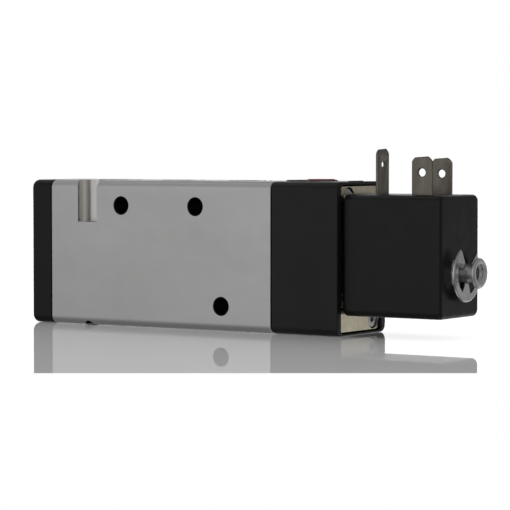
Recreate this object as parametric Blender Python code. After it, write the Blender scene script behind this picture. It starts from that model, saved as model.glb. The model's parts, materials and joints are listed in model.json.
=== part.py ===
"""In-line 5/2 spool valve with spring return and a 22 mm pilot solenoid, one object for each piece.

The frame: +X runs from the end cap to the coil, +Z is up, and the origin is the centre of the
valve body's bottom face. Sizes are in millimetres, and the meshes are made in metres.
"""

import math

import bmesh
import bpy
from mathutils import Vector

for old_object in list(bpy.data.objects):
    bpy.data.objects.remove(old_object, do_unlink=True)

MM = 0.001
GAP = 0.3  # between pieces that touch

# Envelope
BODY_LENGTH = 76.7
BODY_WIDTH = 26.3
BODY_HEIGHT = 42.3
EDGE_RADIUS = 2.4
CAP_LENGTH = 8.0
CAP_END_ROUNDING = 2.0
HOUSING_LENGTH = 21.6
HOUSING_END_ROUNDING = 0.4
COIL_LENGTH = 30.45
COIL_WIDTH = 22.0
COIL_BOTTOM = 5.7
COIL_TOP = 38.9
COIL_STAND_OFF = GAP  # from the pilot housing's end to the coil
COIL_EDGE_ROUNDING = 2.0
COIL_LEFT_ROUNDING = 1.0
COIL_RIGHT_ROUNDING = 1.2

BODY_LEFT = -BODY_LENGTH / 2
BODY_RIGHT = BODY_LENGTH / 2
HALF_WIDTH = BODY_WIDTH / 2
CAP_LEFT = BODY_LEFT - CAP_LENGTH
HOUSING_RIGHT = BODY_RIGHT + HOUSING_LENGTH
COIL_LEFT = HOUSING_RIGHT + COIL_STAND_OFF
COIL_RIGHT = COIL_LEFT + COIL_LENGTH

# Spool stack, on one axis along X
SPOOL_Z = BODY_HEIGHT / 2
BORE_RADIUS = 8.5
CHAMBER_PITCH = 11.5
SEAL_WIDTH = 2.4
LAND_RADIUS = 4.5
NECK_RADIUS = 2.9
STACK_RADIUS = BORE_RADIUS - GAP
SPOOL_CLEAR_RADIUS = LAND_RADIUS + GAP
NECK_SLOPE = 0.6
SPOOL_LEFT = -33.0
SPOOL_RIGHT = 35.5
PISTON_FACE = 43.4
PISTON_LENGTH = 5.0
STEM_RADIUS = 3.0

# Ports: G1/4 threads, drawn at their major diameter
PORT_RADIUS = 6.5
PORT_DEPTH = 8.8
PORT_PASSAGE_RADIUS = 4.0
PORT_CHAMFER = 0.6
TOP_PORTS = (-2 * CHAMBER_PITCH, 0.0, 2 * CHAMBER_PITCH)
BOTTOM_PORTS = (-CHAMBER_PITCH, CHAMBER_PITCH)

# Fastening bores of the body
SIDE_HOLES = ((-13.0, 35.0), (13.0, 35.0), (21.8, 7.1))  # (x, z), straight through the width
SIDE_HOLE_RADIUS = 2.5
SIDE_HOLE_CHAMFER = 0.25
SLOT_X = 25.2
SLOT_RADIUS = 4.1
SLOT_INSET = 2.3  # slot axis behind the face that it opens through
SLOT_FLOOR = 30.1
SLOT_BORE_RADIUS = 2.0

# Pilot supply: from the middle top port to the pilot nozzle
GALLERY_Y = -10.4
GALLERY_Z = 30.3
GALLERY_RADIUS = 1.2

# M3 screws of the cap and of the housing
SCREW_RADIUS = 1.5
SCREW_HEAD_RADIUS = 2.75
SCREW_HEAD_HEIGHT = 2.8
SCREW_BITE = 7.5
CAP_SCREWS = (("upper", 36.9), ("lower", 5.4))
HOUSING_SCREWS = (("upper", 8.2, 37.2), ("lower", -8.2, 5.1))

# Pilot housing
CHAMBER_RADIUS = 9.3
CHAMBER_END = 50.4
RIM_SIDE = 2.27
RIM_BOTTOM = 0.6
RIM_TOP = 0.85
RECESS_FLOOR = 54.15
RECESS_CORNER = 1.4
PAD = (38.95, 51.4, -9.5, 5.0)  # left, right, front, back of the raised pad round the override
PAD_CORNER = 5.0
PAD_HEIGHT = 0.4
OVERRIDE_X = 46.8
OVERRIDE_RADIUS = 3.85
OVERRIDE_DEPTH = 8.0
OVERRIDE_FLOOR = BODY_HEIGHT - OVERRIDE_DEPTH
OVERRIDE_TOP = BODY_HEIGHT + 0.65
PLATE_LEFT = RECESS_FLOOR + 1.1
PLATE_RIGHT = HOUSING_RIGHT - 0.75
PLATE_SCREWS = (("upper", -5.6, 38.0), ("lower", 7.5, 4.0))
PLATE_SCREW_RADIUS = 1.25
PLATE_HEAD_RADIUS = 2.5
PLATE_HEAD_HEIGHT = 1.2
PLATE_HEAD_DEPTH = 0.35  # of the head's face below the plate's face

# Solenoid, on its own axis along X
TUBE_Z = 17.95
TUBE_OUTER = 4.5
TUBE_INNER = 4.0
TUBE_FLANGE_RADIUS = 7.0
TUBE_RIGHT = COIL_RIGHT - 1.2
CLIP_LEFT = COIL_RIGHT + 1.7
CLIP_THICKNESS = 0.7
CLIP_DROP = 0.3  # of the clip's centre below the neck's
CLIP_OUTER = 7.6
CLIP_WINDOW = 5.5
NOZZLE_TIP = 57.65
PLUNGER_LEFT = 58.35
PLUNGER_SHOULDER = 69.0
PLUNGER_RIGHT = 75.0
CORE_LEFT = 76.2
CORE_NECK_RADIUS = 2.55
CORE_FLANGE_LEFT = 96.1
CORE_RIGHT = 97.1
CORE_FLANGE_RADIUS = 4.15
THREAD_RADIUS = 2.45
EXHAUST_RADIUS = 1.9

# Contact blades
BLADE_WIDTH = 6.3
BLADE_THICKNESS = 0.8
BLADE_ROOT = 30.5
BLADE_HOLE_RADIUS = 1.1
BLADE_HOLE_DROP = 4.35
POWER_X = 82.1
POWER_Y = 5.5
POWER_TOPS = (("front", -POWER_Y, 49.3), ("rear", POWER_Y, 48.9))
GROUND_X = 66.5
GROUND_TOP = 51.4

# Colour, roughness, metallic
FINISHES = {
    "anodised": ((0.32, 0.32, 0.31), 0.5, 0.8),
    "black_plastic": ((0.012, 0.012, 0.013), 0.5, 0.0),
    "coil_plastic": ((0.01, 0.01, 0.011), 0.4, 0.0),
    "red_plastic": ((0.45, 0.02, 0.03), 0.35, 0.0),
    "plate": ((0.3, 0.27, 0.2), 0.5, 0.7),
    "steel": ((0.5, 0.5, 0.5), 0.35, 1.0),
    "spring_steel": ((0.35, 0.35, 0.36), 0.3, 1.0),
    "blade": ((0.3, 0.25, 0.2), 0.35, 1.0),
    "copper": ((0.6, 0.25, 0.1), 0.4, 1.0),
    "rubber": ((0.02, 0.02, 0.02), 0.8, 0.0),
    "white_plastic": ((0.6, 0.6, 0.57), 0.5, 0.0),
    "brass": ((0.6, 0.45, 0.15), 0.35, 1.0),
}


def place(axis, along, across, up=0.0):
    """Point at a distance along an axis, given its two other coordinates in X, Y, Z order."""
    ordered = {"X": (along, across, up), "Y": (across, along, up), "Z": (across, up, along)}
    return Vector(ordered[axis])


def finish(name, kind):
    """Principled material of one piece."""
    colour, roughness, metallic = FINISHES[kind]
    material = bpy.data.materials.new(name + "_finish")
    material.use_nodes = True
    shader = material.node_tree.nodes["Principled BSDF"]
    shader.inputs["Base Color"].default_value = (*colour, 1.0)
    shader.inputs["Roughness"].default_value = roughness
    shader.inputs["Metallic"].default_value = metallic
    material.diffuse_color = (*colour, 1.0)
    return material


def make(name, shape, kind=None, origin=(0, 0, 0)):
    """Object from a bmesh in millimetres around its origin; no kind makes it a cutter."""
    bmesh.ops.recalc_face_normals(shape, faces=shape.faces)
    bmesh.ops.scale(shape, vec=(MM, MM, MM), verts=shape.verts)
    mesh = bpy.data.meshes.new(name)
    shape.to_mesh(mesh)
    shape.free()
    mesh.shade_smooth()
    mesh.set_sharp_from_angle(angle=math.radians(35))
    piece = bpy.data.objects.new(name, mesh)
    piece.location = Vector(origin) * MM
    bpy.context.scene.collection.objects.link(piece)
    if kind:
        mesh.materials.append(finish(name, kind))
    else:
        piece.hide_render = True
        piece.display_type = "WIRE"
    return piece


def rounded_rectangle(left, right, bottom, top, radius, steps=4):
    """Outline of a rectangle with round corners."""
    corners = (
        (right - radius, top - radius, 0),
        (left + radius, top - radius, 90),
        (left + radius, bottom + radius, 180),
        (right - radius, bottom + radius, 270),
    )
    points = []
    for a, b, start in corners:
        for step in range(steps + 1):
            angle = math.radians(start + 90 * step / steps)
            points.append((a + radius * math.cos(angle), b + radius * math.sin(angle)))
    return points


def section(inset=0.0, radius=EDGE_RADIUS):
    """Cross-section that the cap, the body and the housing share, seen along X."""
    return rounded_rectangle(
        -HALF_WIDTH + inset, HALF_WIDTH - inset, inset, BODY_HEIGHT - inset, radius - inset
    )


def lofted(name, axis, sections, kind=None):
    """Closed body through outlines with equal point counts, each at its place along an axis."""
    shape = bmesh.new()
    loops = [[shape.verts.new(place(axis, at, *point)) for point in outline] for at, outline in sections]
    count = len(loops[0])
    for lower, upper in zip(loops, loops[1:]):
        for i in range(count):
            j = (i + 1) % count
            shape.faces.new((lower[i], lower[j], upper[j], upper[i]))
    shape.faces.new(list(reversed(loops[0])))
    shape.faces.new(loops[-1])
    return make(name, shape, kind)


def rounded_end(outline_at, face, radius, steps=4, outward=1):
    """Sections that round a prism's end, from the wall to the face; outline_at(inset) gives them."""
    sections = []
    for step in range(steps + 1):
        angle = math.radians(90 * step / steps)
        depth = radius * (1 - math.sin(angle))
        sections.append((face - outward * depth, outline_at(radius * (1 - math.cos(angle)))))
    return sections


def prism(name, axis, outline, start, end, kind=None):
    """Outline extruded along an axis."""
    return lofted(name, axis, [(start, outline), (end, outline)], kind)


def block(name, low, high, kind=None, rounding=0.0):
    """Box between two corners, with its edges rounded."""
    outline = [(low[1], low[2]), (high[1], low[2]), (high[1], high[2]), (low[1], high[2])]
    piece = prism(name, "X", outline, low[0], high[0], kind)
    if rounding:
        bevel = piece.modifiers.new("round edges", "BEVEL")
        bevel.width = rounding * MM
        bevel.segments = 4
    return piece


def turned(name, axis, centre, profile, kind=None, sides=16, start=0.0):
    """Turned piece. A profile of (along, radius) that begins and ends at radius 0 is a solid, and
    any other is a ring. The object's origin is on its axis."""
    shape = bmesh.new()
    rings = []
    for along, radius in profile:
        if radius == 0:
            rings.append([shape.verts.new(place(axis, along - start, 0, 0))])
            continue
        angles = [2 * math.pi * i / sides for i in range(sides)]
        points = [(radius * math.cos(angle), radius * math.sin(angle)) for angle in angles]
        rings.append([shape.verts.new(place(axis, along - start, *point)) for point in points])
    pairs = list(zip(rings, rings[1:]))
    if len(rings[0]) > 1:
        pairs.append((rings[-1], rings[0]))
    for first, second in pairs:
        for i in range(sides):
            j = (i + 1) % sides
            corners = [first[i % len(first)], first[j % len(first)]]
            corners += [second[j % len(second)], second[i % len(second)]]
            shape.faces.new(list(dict.fromkeys(corners)))
    return make(name, shape, kind, place(axis, start, *centre))


def drill(axis, centre, steps, sides=16):
    """Cutter for a stepped round hole, from (along, radius) steps."""
    profile = [(steps[0][0], 0), *steps, (steps[-1][0], 0)]
    return turned("drill", axis, centre, profile, sides=sides)


def angled_drill(start, end, radius):
    """Cutter for a straight round hole between any two points."""
    start, end = Vector(start), Vector(end)
    tool = drill("Z", (0, 0), [(0, radius), ((end - start).length, radius)], sides=8)
    tool.location = start * MM
    tool.rotation_euler = (end - start).to_track_quat("Z", "Y").to_euler()
    return tool


def groove(axis, centre, start, end, inner, outer):
    """Cutter for a ring-shaped groove."""
    return turned("groove", axis, centre, ring_profile(start, end, inner, outer))


def ring_profile(start, end, inner, outer):
    return [(start, inner), (start, outer), (end, outer), (end, inner)]


def round_ring_profile(centre, mean_radius, section_radius, steps=6):
    """Profile of an O-ring."""
    angles = [2 * math.pi * i / steps for i in range(steps)]
    return [
        (centre + section_radius * math.cos(a), mean_radius + section_radius * math.sin(a)) for a in angles
    ]


def boolean(piece, operation, tools):
    for tool in tools:
        tool.hide_render = True
        tool.display_type = "WIRE"
        modifier = piece.modifiers.new(operation.lower(), "BOOLEAN")
        modifier.operation = operation
        modifier.object = tool


def cut(piece, *tools):
    boolean(piece, "DIFFERENCE", tools)


def join(piece, *tools):
    boolean(piece, "UNION", tools)


def coil_spring(name, centre, start, end, mean_radius, wire_radius, turns, per_turn=8):
    """Compression spring along X, with a closed turn at each end."""
    closed = 2.1 * wire_radius
    low, high = start + wire_radius, end - wire_radius
    free = high - low - 2 * closed
    curve = bpy.data.curves.new(name, "CURVE")
    curve.dimensions = "3D"
    curve.bevel_depth = wire_radius * MM
    curve.bevel_resolution = 0
    curve.use_fill_caps = True
    spline = curve.splines.new("POLY")
    count = int(turns * per_turn)
    spline.points.add(count)
    for i in range(count + 1):
        turn = i / per_turn
        rise = closed * min(turn, 1) + closed * max(turn - turns + 1, 0)
        rise += free * min(max(turn - 1, 0), turns - 2) / (turns - 2)
        angle = 2 * math.pi * turn
        point = (low - start + rise, mean_radius * math.cos(angle), mean_radius * math.sin(angle))
        spline.points[i].co = (*(Vector(point) * MM), 1.0)
    curve.materials.append(finish(name, "spring_steel"))
    piece = bpy.data.objects.new(name, curve)
    piece.location = Vector((start, *centre)) * MM
    bpy.context.scene.collection.objects.link(piece)
    return piece


def hexagon(centre, across_flats):
    """Outline of a hexagon socket."""
    radius = across_flats / math.sqrt(3)
    angles = [math.radians(60 * i) for i in range(6)]
    return [(centre[0] + radius * math.cos(a), centre[1] + radius * math.sin(a)) for a in angles]


def screw(name, centre, head_face, length, direction, head_radius, head_height, shank_radius, socket):
    """Socket screw along X. Its head faces -direction, and length is the shank's."""
    seat = head_face + direction * head_height
    tip = seat + direction * length
    profile = [
        (head_face, 0),
        (head_face, head_radius - 0.3),
        (head_face + direction * 0.3, head_radius),
        (seat, head_radius),
        (seat, shank_radius),
        (tip - direction * 0.5, shank_radius),
        (tip, shank_radius - 0.5),
        (tip, 0),
    ]
    piece = turned(name, "X", centre, profile, "steel", sides=12, start=head_face)
    bottom = head_face + direction * head_height * 0.55
    cut(piece, prism("socket", "X", hexagon(centre, socket), head_face - direction, bottom))
    return piece


def valve_body():
    """Extruded block with the spool bore, the ports, the gallery and the fastening bores."""
    body = prism("valve_body", "X", section(), BODY_LEFT, BODY_RIGHT, "anodised")
    bore_steps = [
        (BODY_LEFT - 1, BORE_RADIUS + 0.5),
        (BODY_LEFT, BORE_RADIUS + 0.5),
        (BODY_LEFT + 0.5, BORE_RADIUS),
        (BODY_RIGHT - 0.5, BORE_RADIUS),
        (BODY_RIGHT, BORE_RADIUS + 0.5),
        (BODY_RIGHT + 1, BORE_RADIUS + 0.5),
    ]
    cut(body, drill("X", (0, SPOOL_Z), bore_steps, sides=24))
    for ports, face, inward in ((TOP_PORTS, BODY_HEIGHT, -1), (BOTTOM_PORTS, 0.0, 1)):
        port_steps = [
            (face - inward, PORT_RADIUS + PORT_CHAMFER),
            (face, PORT_RADIUS + PORT_CHAMFER),
            (face + inward * PORT_CHAMFER, PORT_RADIUS),
            (face + inward * PORT_DEPTH, PORT_RADIUS),
            (face + inward * PORT_DEPTH, PORT_PASSAGE_RADIUS),
            (SPOOL_Z - inward * 4.0, PORT_PASSAGE_RADIUS),
        ]
        for x in ports:
            cut(body, drill("Z", (x, 0), port_steps, sides=20))
    side_steps = []
    for side in (-1, 1):
        rim = [
            (side * (HALF_WIDTH + 1), SIDE_HOLE_RADIUS + SIDE_HOLE_CHAMFER),
            (side * HALF_WIDTH, SIDE_HOLE_RADIUS + SIDE_HOLE_CHAMFER),
            (side * (HALF_WIDTH - SIDE_HOLE_CHAMFER), SIDE_HOLE_RADIUS),
        ]
        side_steps += rim if side < 0 else reversed(rim)
    for x, z in SIDE_HOLES:
        cut(body, drill("Y", (x, z), side_steps, sides=20))
    slot_steps = [
        (-1, SLOT_BORE_RADIUS),
        (SLOT_FLOOR, SLOT_BORE_RADIUS),
        (SLOT_FLOOR, SLOT_RADIUS),
        (BODY_HEIGHT + 1, SLOT_RADIUS),
    ]
    for side in (-1, 1):
        centre = (side * SLOT_X, side * (HALF_WIDTH - SLOT_INSET))
        cut(body, drill("Z", centre, slot_steps))
    gallery_steps = [(-GALLERY_RADIUS, GALLERY_RADIUS), (BODY_RIGHT + 1, GALLERY_RADIUS)]
    cut(body, drill("X", (GALLERY_Y, GALLERY_Z), gallery_steps, sides=8))
    cut(body, angled_drill((0, 4.0, BODY_HEIGHT + 1.7), (0, GALLERY_Y, GALLERY_Z), 1.0))
    tapped = SCREW_RADIUS + GAP
    for _, z in CAP_SCREWS:
        cut(body, drill("X", (0, z), [(BODY_LEFT - 1, tapped), (BODY_LEFT + SCREW_BITE, tapped)], 10))
    for _, y, z in HOUSING_SCREWS:
        cut(body, drill("X", (y, z), [(BODY_RIGHT - SCREW_BITE, tapped), (BODY_RIGHT + 1, tapped)], 10))


def end_cap():
    """Cap over the return spring, its ring gasket and its two screws."""
    face = BODY_LEFT - GAP
    sections = [(face, section())] + rounded_end(section, CAP_LEFT, CAP_END_ROUNDING, outward=-1)
    cap = lofted("end_cap", "X", sections, "black_plastic")
    spring_room = [(CAP_LEFT + 1.5, LAND_RADIUS + GAP), (face + 1, LAND_RADIUS + GAP)]
    cut(cap, drill("X", (0, SPOOL_Z), spring_room))
    cut(cap, groove("X", (0, SPOOL_Z), face - 1.5, face + 1, 9.9, 11.6))
    gasket = ring_profile(face - 1.2, face, 10.2, 11.3)
    turned("end_cap_gasket", "X", (0, SPOOL_Z), gasket, "rubber", sides=16)
    head_face = CAP_LEFT + GAP
    seat = head_face + SCREW_HEAD_HEIGHT
    length = BODY_LEFT + SCREW_BITE - GAP - seat
    for label, z in CAP_SCREWS:
        pocket = SCREW_HEAD_RADIUS + GAP
        shank = SCREW_RADIUS + GAP
        steps = [(CAP_LEFT - 1, pocket), (seat + GAP, pocket), (seat + GAP, shank), (face + 1, shank)]
        cut(cap, drill("X", (0, z), steps, sides=16))
        name = "end_cap_screw_" + label
        screw(name, (0, z), head_face, length, 1, SCREW_HEAD_RADIUS, SCREW_HEAD_HEIGHT, SCREW_RADIUS, 2.5)
    coil_spring("return_spring", (0, SPOOL_Z), CAP_LEFT + 1.5 + GAP, SPOOL_LEFT - GAP, 3.6, 0.45, 7)


def spool_stack():
    """Seals and ported spacers in the bore, two end rings, and the spool."""
    centre = (0, SPOOL_Z)
    half_seal = SEAL_WIDTH / 2
    lip, half_edge = SPOOL_CLEAR_RADIUS + 0.5, 0.5
    for index in range(6):
        x = (index - 2.5) * CHAMBER_PITCH
        profile = [
            (x - half_seal, lip),
            (x - half_seal, STACK_RADIUS),
            (x + half_seal, STACK_RADIUS),
            (x + half_seal, lip),
            (x + half_edge, SPOOL_CLEAR_RADIUS),
            (x - half_edge, SPOOL_CLEAR_RADIUS),
        ]
        turned(f"lip_seal_{index + 1}", "X", centre, profile, "rubber", sides=12)
    half_spacer = (CHAMBER_PITCH - SEAL_WIDTH) / 2 - GAP
    spacer_wall_from, window_radius = SPOOL_CLEAR_RADIUS + 1.2, 2.6
    for index in range(5):
        x = (index - 2) * CHAMBER_PITCH
        profile = ring_profile(x - half_spacer, x + half_spacer, spacer_wall_from, STACK_RADIUS)
        spacer = turned(f"seal_spacer_{index + 1}", "X", centre, profile, "white_plastic", sides=12)
        for turn in range(2):
            angle = math.radians(90 * turn + 45)
            reach = Vector((0, math.cos(angle), math.sin(angle))) * (BORE_RADIUS + 1)
            middle = Vector((x, 0, SPOOL_Z))
            cut(spacer, angled_drill(middle - reach, middle + reach, window_radius))
    ring_inner = 2.5 * CHAMBER_PITCH + half_seal + GAP
    ring_outer = BODY_RIGHT - GAP
    for side, label in ((-1, "left"), (1, "right")):
        profile = ring_profile(side * ring_inner, side * ring_outer, SPOOL_CLEAR_RADIUS, STACK_RADIUS)
        turned("end_ring_" + label, "X", centre, profile, "white_plastic", sides=12)
    chamfer = 0.5
    profile = [(SPOOL_LEFT, 0), (SPOOL_LEFT, LAND_RADIUS - chamfer), (SPOOL_LEFT + chamfer, LAND_RADIUS)]
    necks = (
        (-2.5 * CHAMBER_PITCH + 5.25, -1.5 * CHAMBER_PITCH + 2.0),
        (-0.5 * CHAMBER_PITCH + 2.0, 0.5 * CHAMBER_PITCH + 2.0),
        (1.5 * CHAMBER_PITCH + 2.0, 2.5 * CHAMBER_PITCH - 1.5),
    )
    for start, end in necks:
        profile += [
            (start, LAND_RADIUS),
            (start + NECK_SLOPE, NECK_RADIUS),
            (end - NECK_SLOPE, NECK_RADIUS),
            (end, LAND_RADIUS),
        ]
    profile += [(SPOOL_RIGHT - chamfer, LAND_RADIUS), (SPOOL_RIGHT, LAND_RADIUS - chamfer), (SPOOL_RIGHT, 0)]
    turned("spool", "X", centre, profile, "anodised", sides=14, start=SPOOL_LEFT)


def pilot_drive():
    """Piston that pushes the spool, with its lip seal."""
    centre = (0, SPOOL_Z)
    radius = CHAMBER_RADIUS - GAP
    stem_left, face, back = SPOOL_RIGHT + GAP, PISTON_FACE, PISTON_FACE + PISTON_LENGTH
    groove_left, groove_right, groove_radius = face + 1.4, back - 1.2, radius - 1.7
    profile = [
        (stem_left, 0),
        (stem_left, STEM_RADIUS),
        (face, STEM_RADIUS),
        (face, radius),
        (groove_left, radius),
        (groove_left, groove_radius),
        (groove_right, groove_radius),
        (groove_right, radius),
        (back, radius),
        (back, 0),
    ]
    turned("pilot_piston", "X", centre, profile, "white_plastic", start=stem_left)
    seal = ring_profile(groove_left + GAP, groove_right - GAP, groove_radius + GAP, radius + 0.1)
    turned("piston_seal", "X", centre, seal, "rubber", start=face)


def pilot_housing():
    """Housing with the piston chamber, the override bore, the nozzle and the plate's recess."""
    face = BODY_RIGHT + GAP
    sections = [(face, section())] + rounded_end(section, HOUSING_RIGHT, HOUSING_END_ROUNDING, 3)
    housing = lofted("pilot_housing", "X", sections, "black_plastic")
    pad = rounded_rectangle(*PAD, PAD_CORNER)
    join(housing, prism("override_pad", "Z", pad, BODY_HEIGHT - 2, BODY_HEIGHT + PAD_HEIGHT))
    catch_left, catch_right = HOUSING_RIGHT - 2.0, HOUSING_RIGHT - HOUSING_END_ROUNDING
    catch_low, catch_high = (catch_left, -4.2, BODY_HEIGHT - 1), (catch_right, 1.7, BODY_HEIGHT + 0.25)
    join(housing, block("top_catch", catch_low, catch_high))
    recess = rounded_rectangle(
        -HALF_WIDTH + RIM_SIDE, HALF_WIDTH - RIM_SIDE, RIM_BOTTOM, BODY_HEIGHT - RIM_TOP, RECESS_CORNER
    )
    cut(housing, prism("recess", "X", recess, RECESS_FLOOR, HOUSING_RIGHT + 1))
    cut(housing, drill("X", (0, SPOOL_Z), [(face - 1, CHAMBER_RADIUS), (CHAMBER_END, CHAMBER_RADIUS)], 24))
    cut(housing, groove("X", (0, SPOOL_Z), face - 1, face + 1.5, 10.0, 11.5))
    gasket = ring_profile(face, face + 1.2, 10.3, 11.2)
    turned("housing_gasket", "X", (0, SPOOL_Z), gasket, "rubber", sides=16)

    nozzle_profile = [(RECESS_FLOOR - 1, 0), (RECESS_FLOOR - 1, 2.2), (RECESS_FLOOR, 2.2)]
    nozzle_profile += [(NOZZLE_TIP - 1.2, 1.7), (NOZZLE_TIP, 1.1), (NOZZLE_TIP, 0)]
    join(housing, turned("nozzle", "X", (0, TUBE_Z), nozzle_profile, sides=12))
    supply_x = CHAMBER_END + 1.5
    filter_end = face + 1.7
    supply_steps = [(face - 1, 2.0), (filter_end, 2.0)]
    supply_steps += [(filter_end, GALLERY_RADIUS), (supply_x + 0.6, GALLERY_RADIUS)]
    cut(housing, drill("X", (GALLERY_Y, GALLERY_Z), supply_steps, sides=12))
    cut(housing, angled_drill((supply_x, GALLERY_Y, GALLERY_Z), (supply_x, 0, TUBE_Z), 0.6))
    cut(housing, drill("X", (0, TUBE_Z), [(supply_x, 0.5), (NOZZLE_TIP + 1, 0.5)], sides=8))
    outlet = (-2.2, TUBE_Z - 2.45)  # from the armature's room into the piston's chamber
    cut(housing, drill("X", outlet, [(CHAMBER_END - 1, 0.7), (RECESS_FLOOR + 1, 0.7)], sides=8))
    cut(housing, groove("X", (0, TUBE_Z), RECESS_FLOOR - 1.4, RECESS_FLOOR + 1, 4.9, 6.7))
    disc = [(face, 0), (face, 1.7), (face + 1.3, 1.7), (face + 1.3, 0)]
    turned("filter_disc", "X", (GALLERY_Y, GALLERY_Z), disc, "brass", sides=12)

    vent, room = 0.6, OVERRIDE_RADIUS + GAP
    steps = [(OVERRIDE_FLOOR - 5, vent), (OVERRIDE_FLOOR, vent)]
    steps += [(OVERRIDE_FLOOR, room), (BODY_HEIGHT + 2, room)]
    cut(housing, drill("Z", (OVERRIDE_X, 0), steps))

    head_face = RECESS_FLOOR - GAP
    seat = head_face - SCREW_HEAD_HEIGHT
    length = seat - (BODY_RIGHT - SCREW_BITE + GAP)
    for label, y, z in HOUSING_SCREWS:
        pocket = SCREW_HEAD_RADIUS + GAP
        shank = SCREW_RADIUS + GAP
        steps = [(face - 1, shank), (seat - GAP, shank), (seat - GAP, pocket), (RECESS_FLOOR + 1, pocket)]
        cut(housing, drill("X", (y, z), steps, sides=14))
        name = "housing_screw_" + label
        screw(name, (y, z), head_face, length, -1, SCREW_HEAD_RADIUS, SCREW_HEAD_HEIGHT, SCREW_RADIUS, 2.5)
    tapped = PLATE_SCREW_RADIUS + GAP
    for _, y, z in PLATE_SCREWS:
        steps = [(RECESS_FLOOR - 4.5, tapped), (RECESS_FLOOR + 1, tapped)]
        cut(housing, drill("X", (y, z), steps, sides=10))


def manual_override():
    """Red button that a screwdriver turns, with its O-ring."""
    low = OVERRIDE_FLOOR + GAP
    foot_radius, groove_radius = 1.5, 2.5
    profile = [
        (low, 0),
        (low, foot_radius),
        (low + 1.2, foot_radius),
        (low + 1.2, OVERRIDE_RADIUS),
        (low + 2.4, OVERRIDE_RADIUS),
        (low + 2.4, groove_radius),
        (low + 4.2, groove_radius),
        (low + 4.2, OVERRIDE_RADIUS),
        (OVERRIDE_TOP - 0.3, OVERRIDE_RADIUS),
        (OVERRIDE_TOP, OVERRIDE_RADIUS - 0.3),
        (OVERRIDE_TOP, 0),
    ]
    button = turned("manual_override", "Z", (OVERRIDE_X, 0), profile, "red_plastic", start=BODY_HEIGHT)
    half_length, half_slot, depth = 2.8, 0.5, 1.2
    slot_low = (OVERRIDE_X - half_length, -half_slot, OVERRIDE_TOP - depth)
    slot_high = (OVERRIDE_X + half_length, half_slot, OVERRIDE_TOP + 1)
    cut(button, block("override_slot", slot_low, slot_high))
    ring = round_ring_profile(low + 3.3, 3.35, 0.5)
    turned("override_o_ring", "Z", (OVERRIDE_X, 0), ring, "rubber", sides=16, start=BODY_HEIGHT)


def pilot_base():
    """Base plate that clamps the armature tube, with its gasket and its two screws."""
    side = HALF_WIDTH - RIM_SIDE - GAP
    bottom, top = RIM_BOTTOM + GAP, BODY_HEIGHT - RIM_TOP - GAP
    outline = rounded_rectangle(-side, side, bottom, top, RECESS_CORNER - GAP)
    plate = prism("pilot_base", "X", outline, PLATE_LEFT, PLATE_RIGHT, "plate")
    flange_room = TUBE_FLANGE_RADIUS + GAP
    flange_face = PLATE_LEFT + 0.6
    steps = [(PLATE_LEFT - 1, flange_room), (flange_face, flange_room)]
    steps += [(flange_face, TUBE_OUTER + GAP), (PLATE_RIGHT + 1, TUBE_OUTER + GAP)]
    cut(plate, drill("X", (0, TUBE_Z), steps, sides=24))
    gasket_left = RECESS_FLOOR + GAP
    gasket_right = gasket_left + 0.5
    gasket = prism("pilot_base_gasket", "X", outline, gasket_left, gasket_right, "rubber")
    cut(gasket, drill("X", (0, TUBE_Z), [(gasket_left - 1, flange_room), (gasket_right + 1, flange_room)]))
    head_face = PLATE_RIGHT - PLATE_HEAD_DEPTH
    seat = head_face - PLATE_HEAD_HEIGHT
    length = seat - (RECESS_FLOOR - 4.0)
    clear, pocket, floor = PLATE_SCREW_RADIUS + GAP, PLATE_HEAD_RADIUS + GAP, seat - GAP
    for label, y, z in PLATE_SCREWS:
        steps = [(PLATE_LEFT - 1, clear), (floor, clear), (floor, pocket), (PLATE_RIGHT + 1, pocket)]
        cut(plate, drill("X", (y, z), steps, sides=20))
        cut(gasket, drill("X", (y, z), [(gasket_left - 1, clear), (gasket_right + 1, clear)], sides=10))
        head = (PLATE_HEAD_RADIUS, PLATE_HEAD_HEIGHT)
        screw("pilot_screw_" + label, (y, z), head_face, length, -1, *head, PLATE_SCREW_RADIUS, 2.0)


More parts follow.
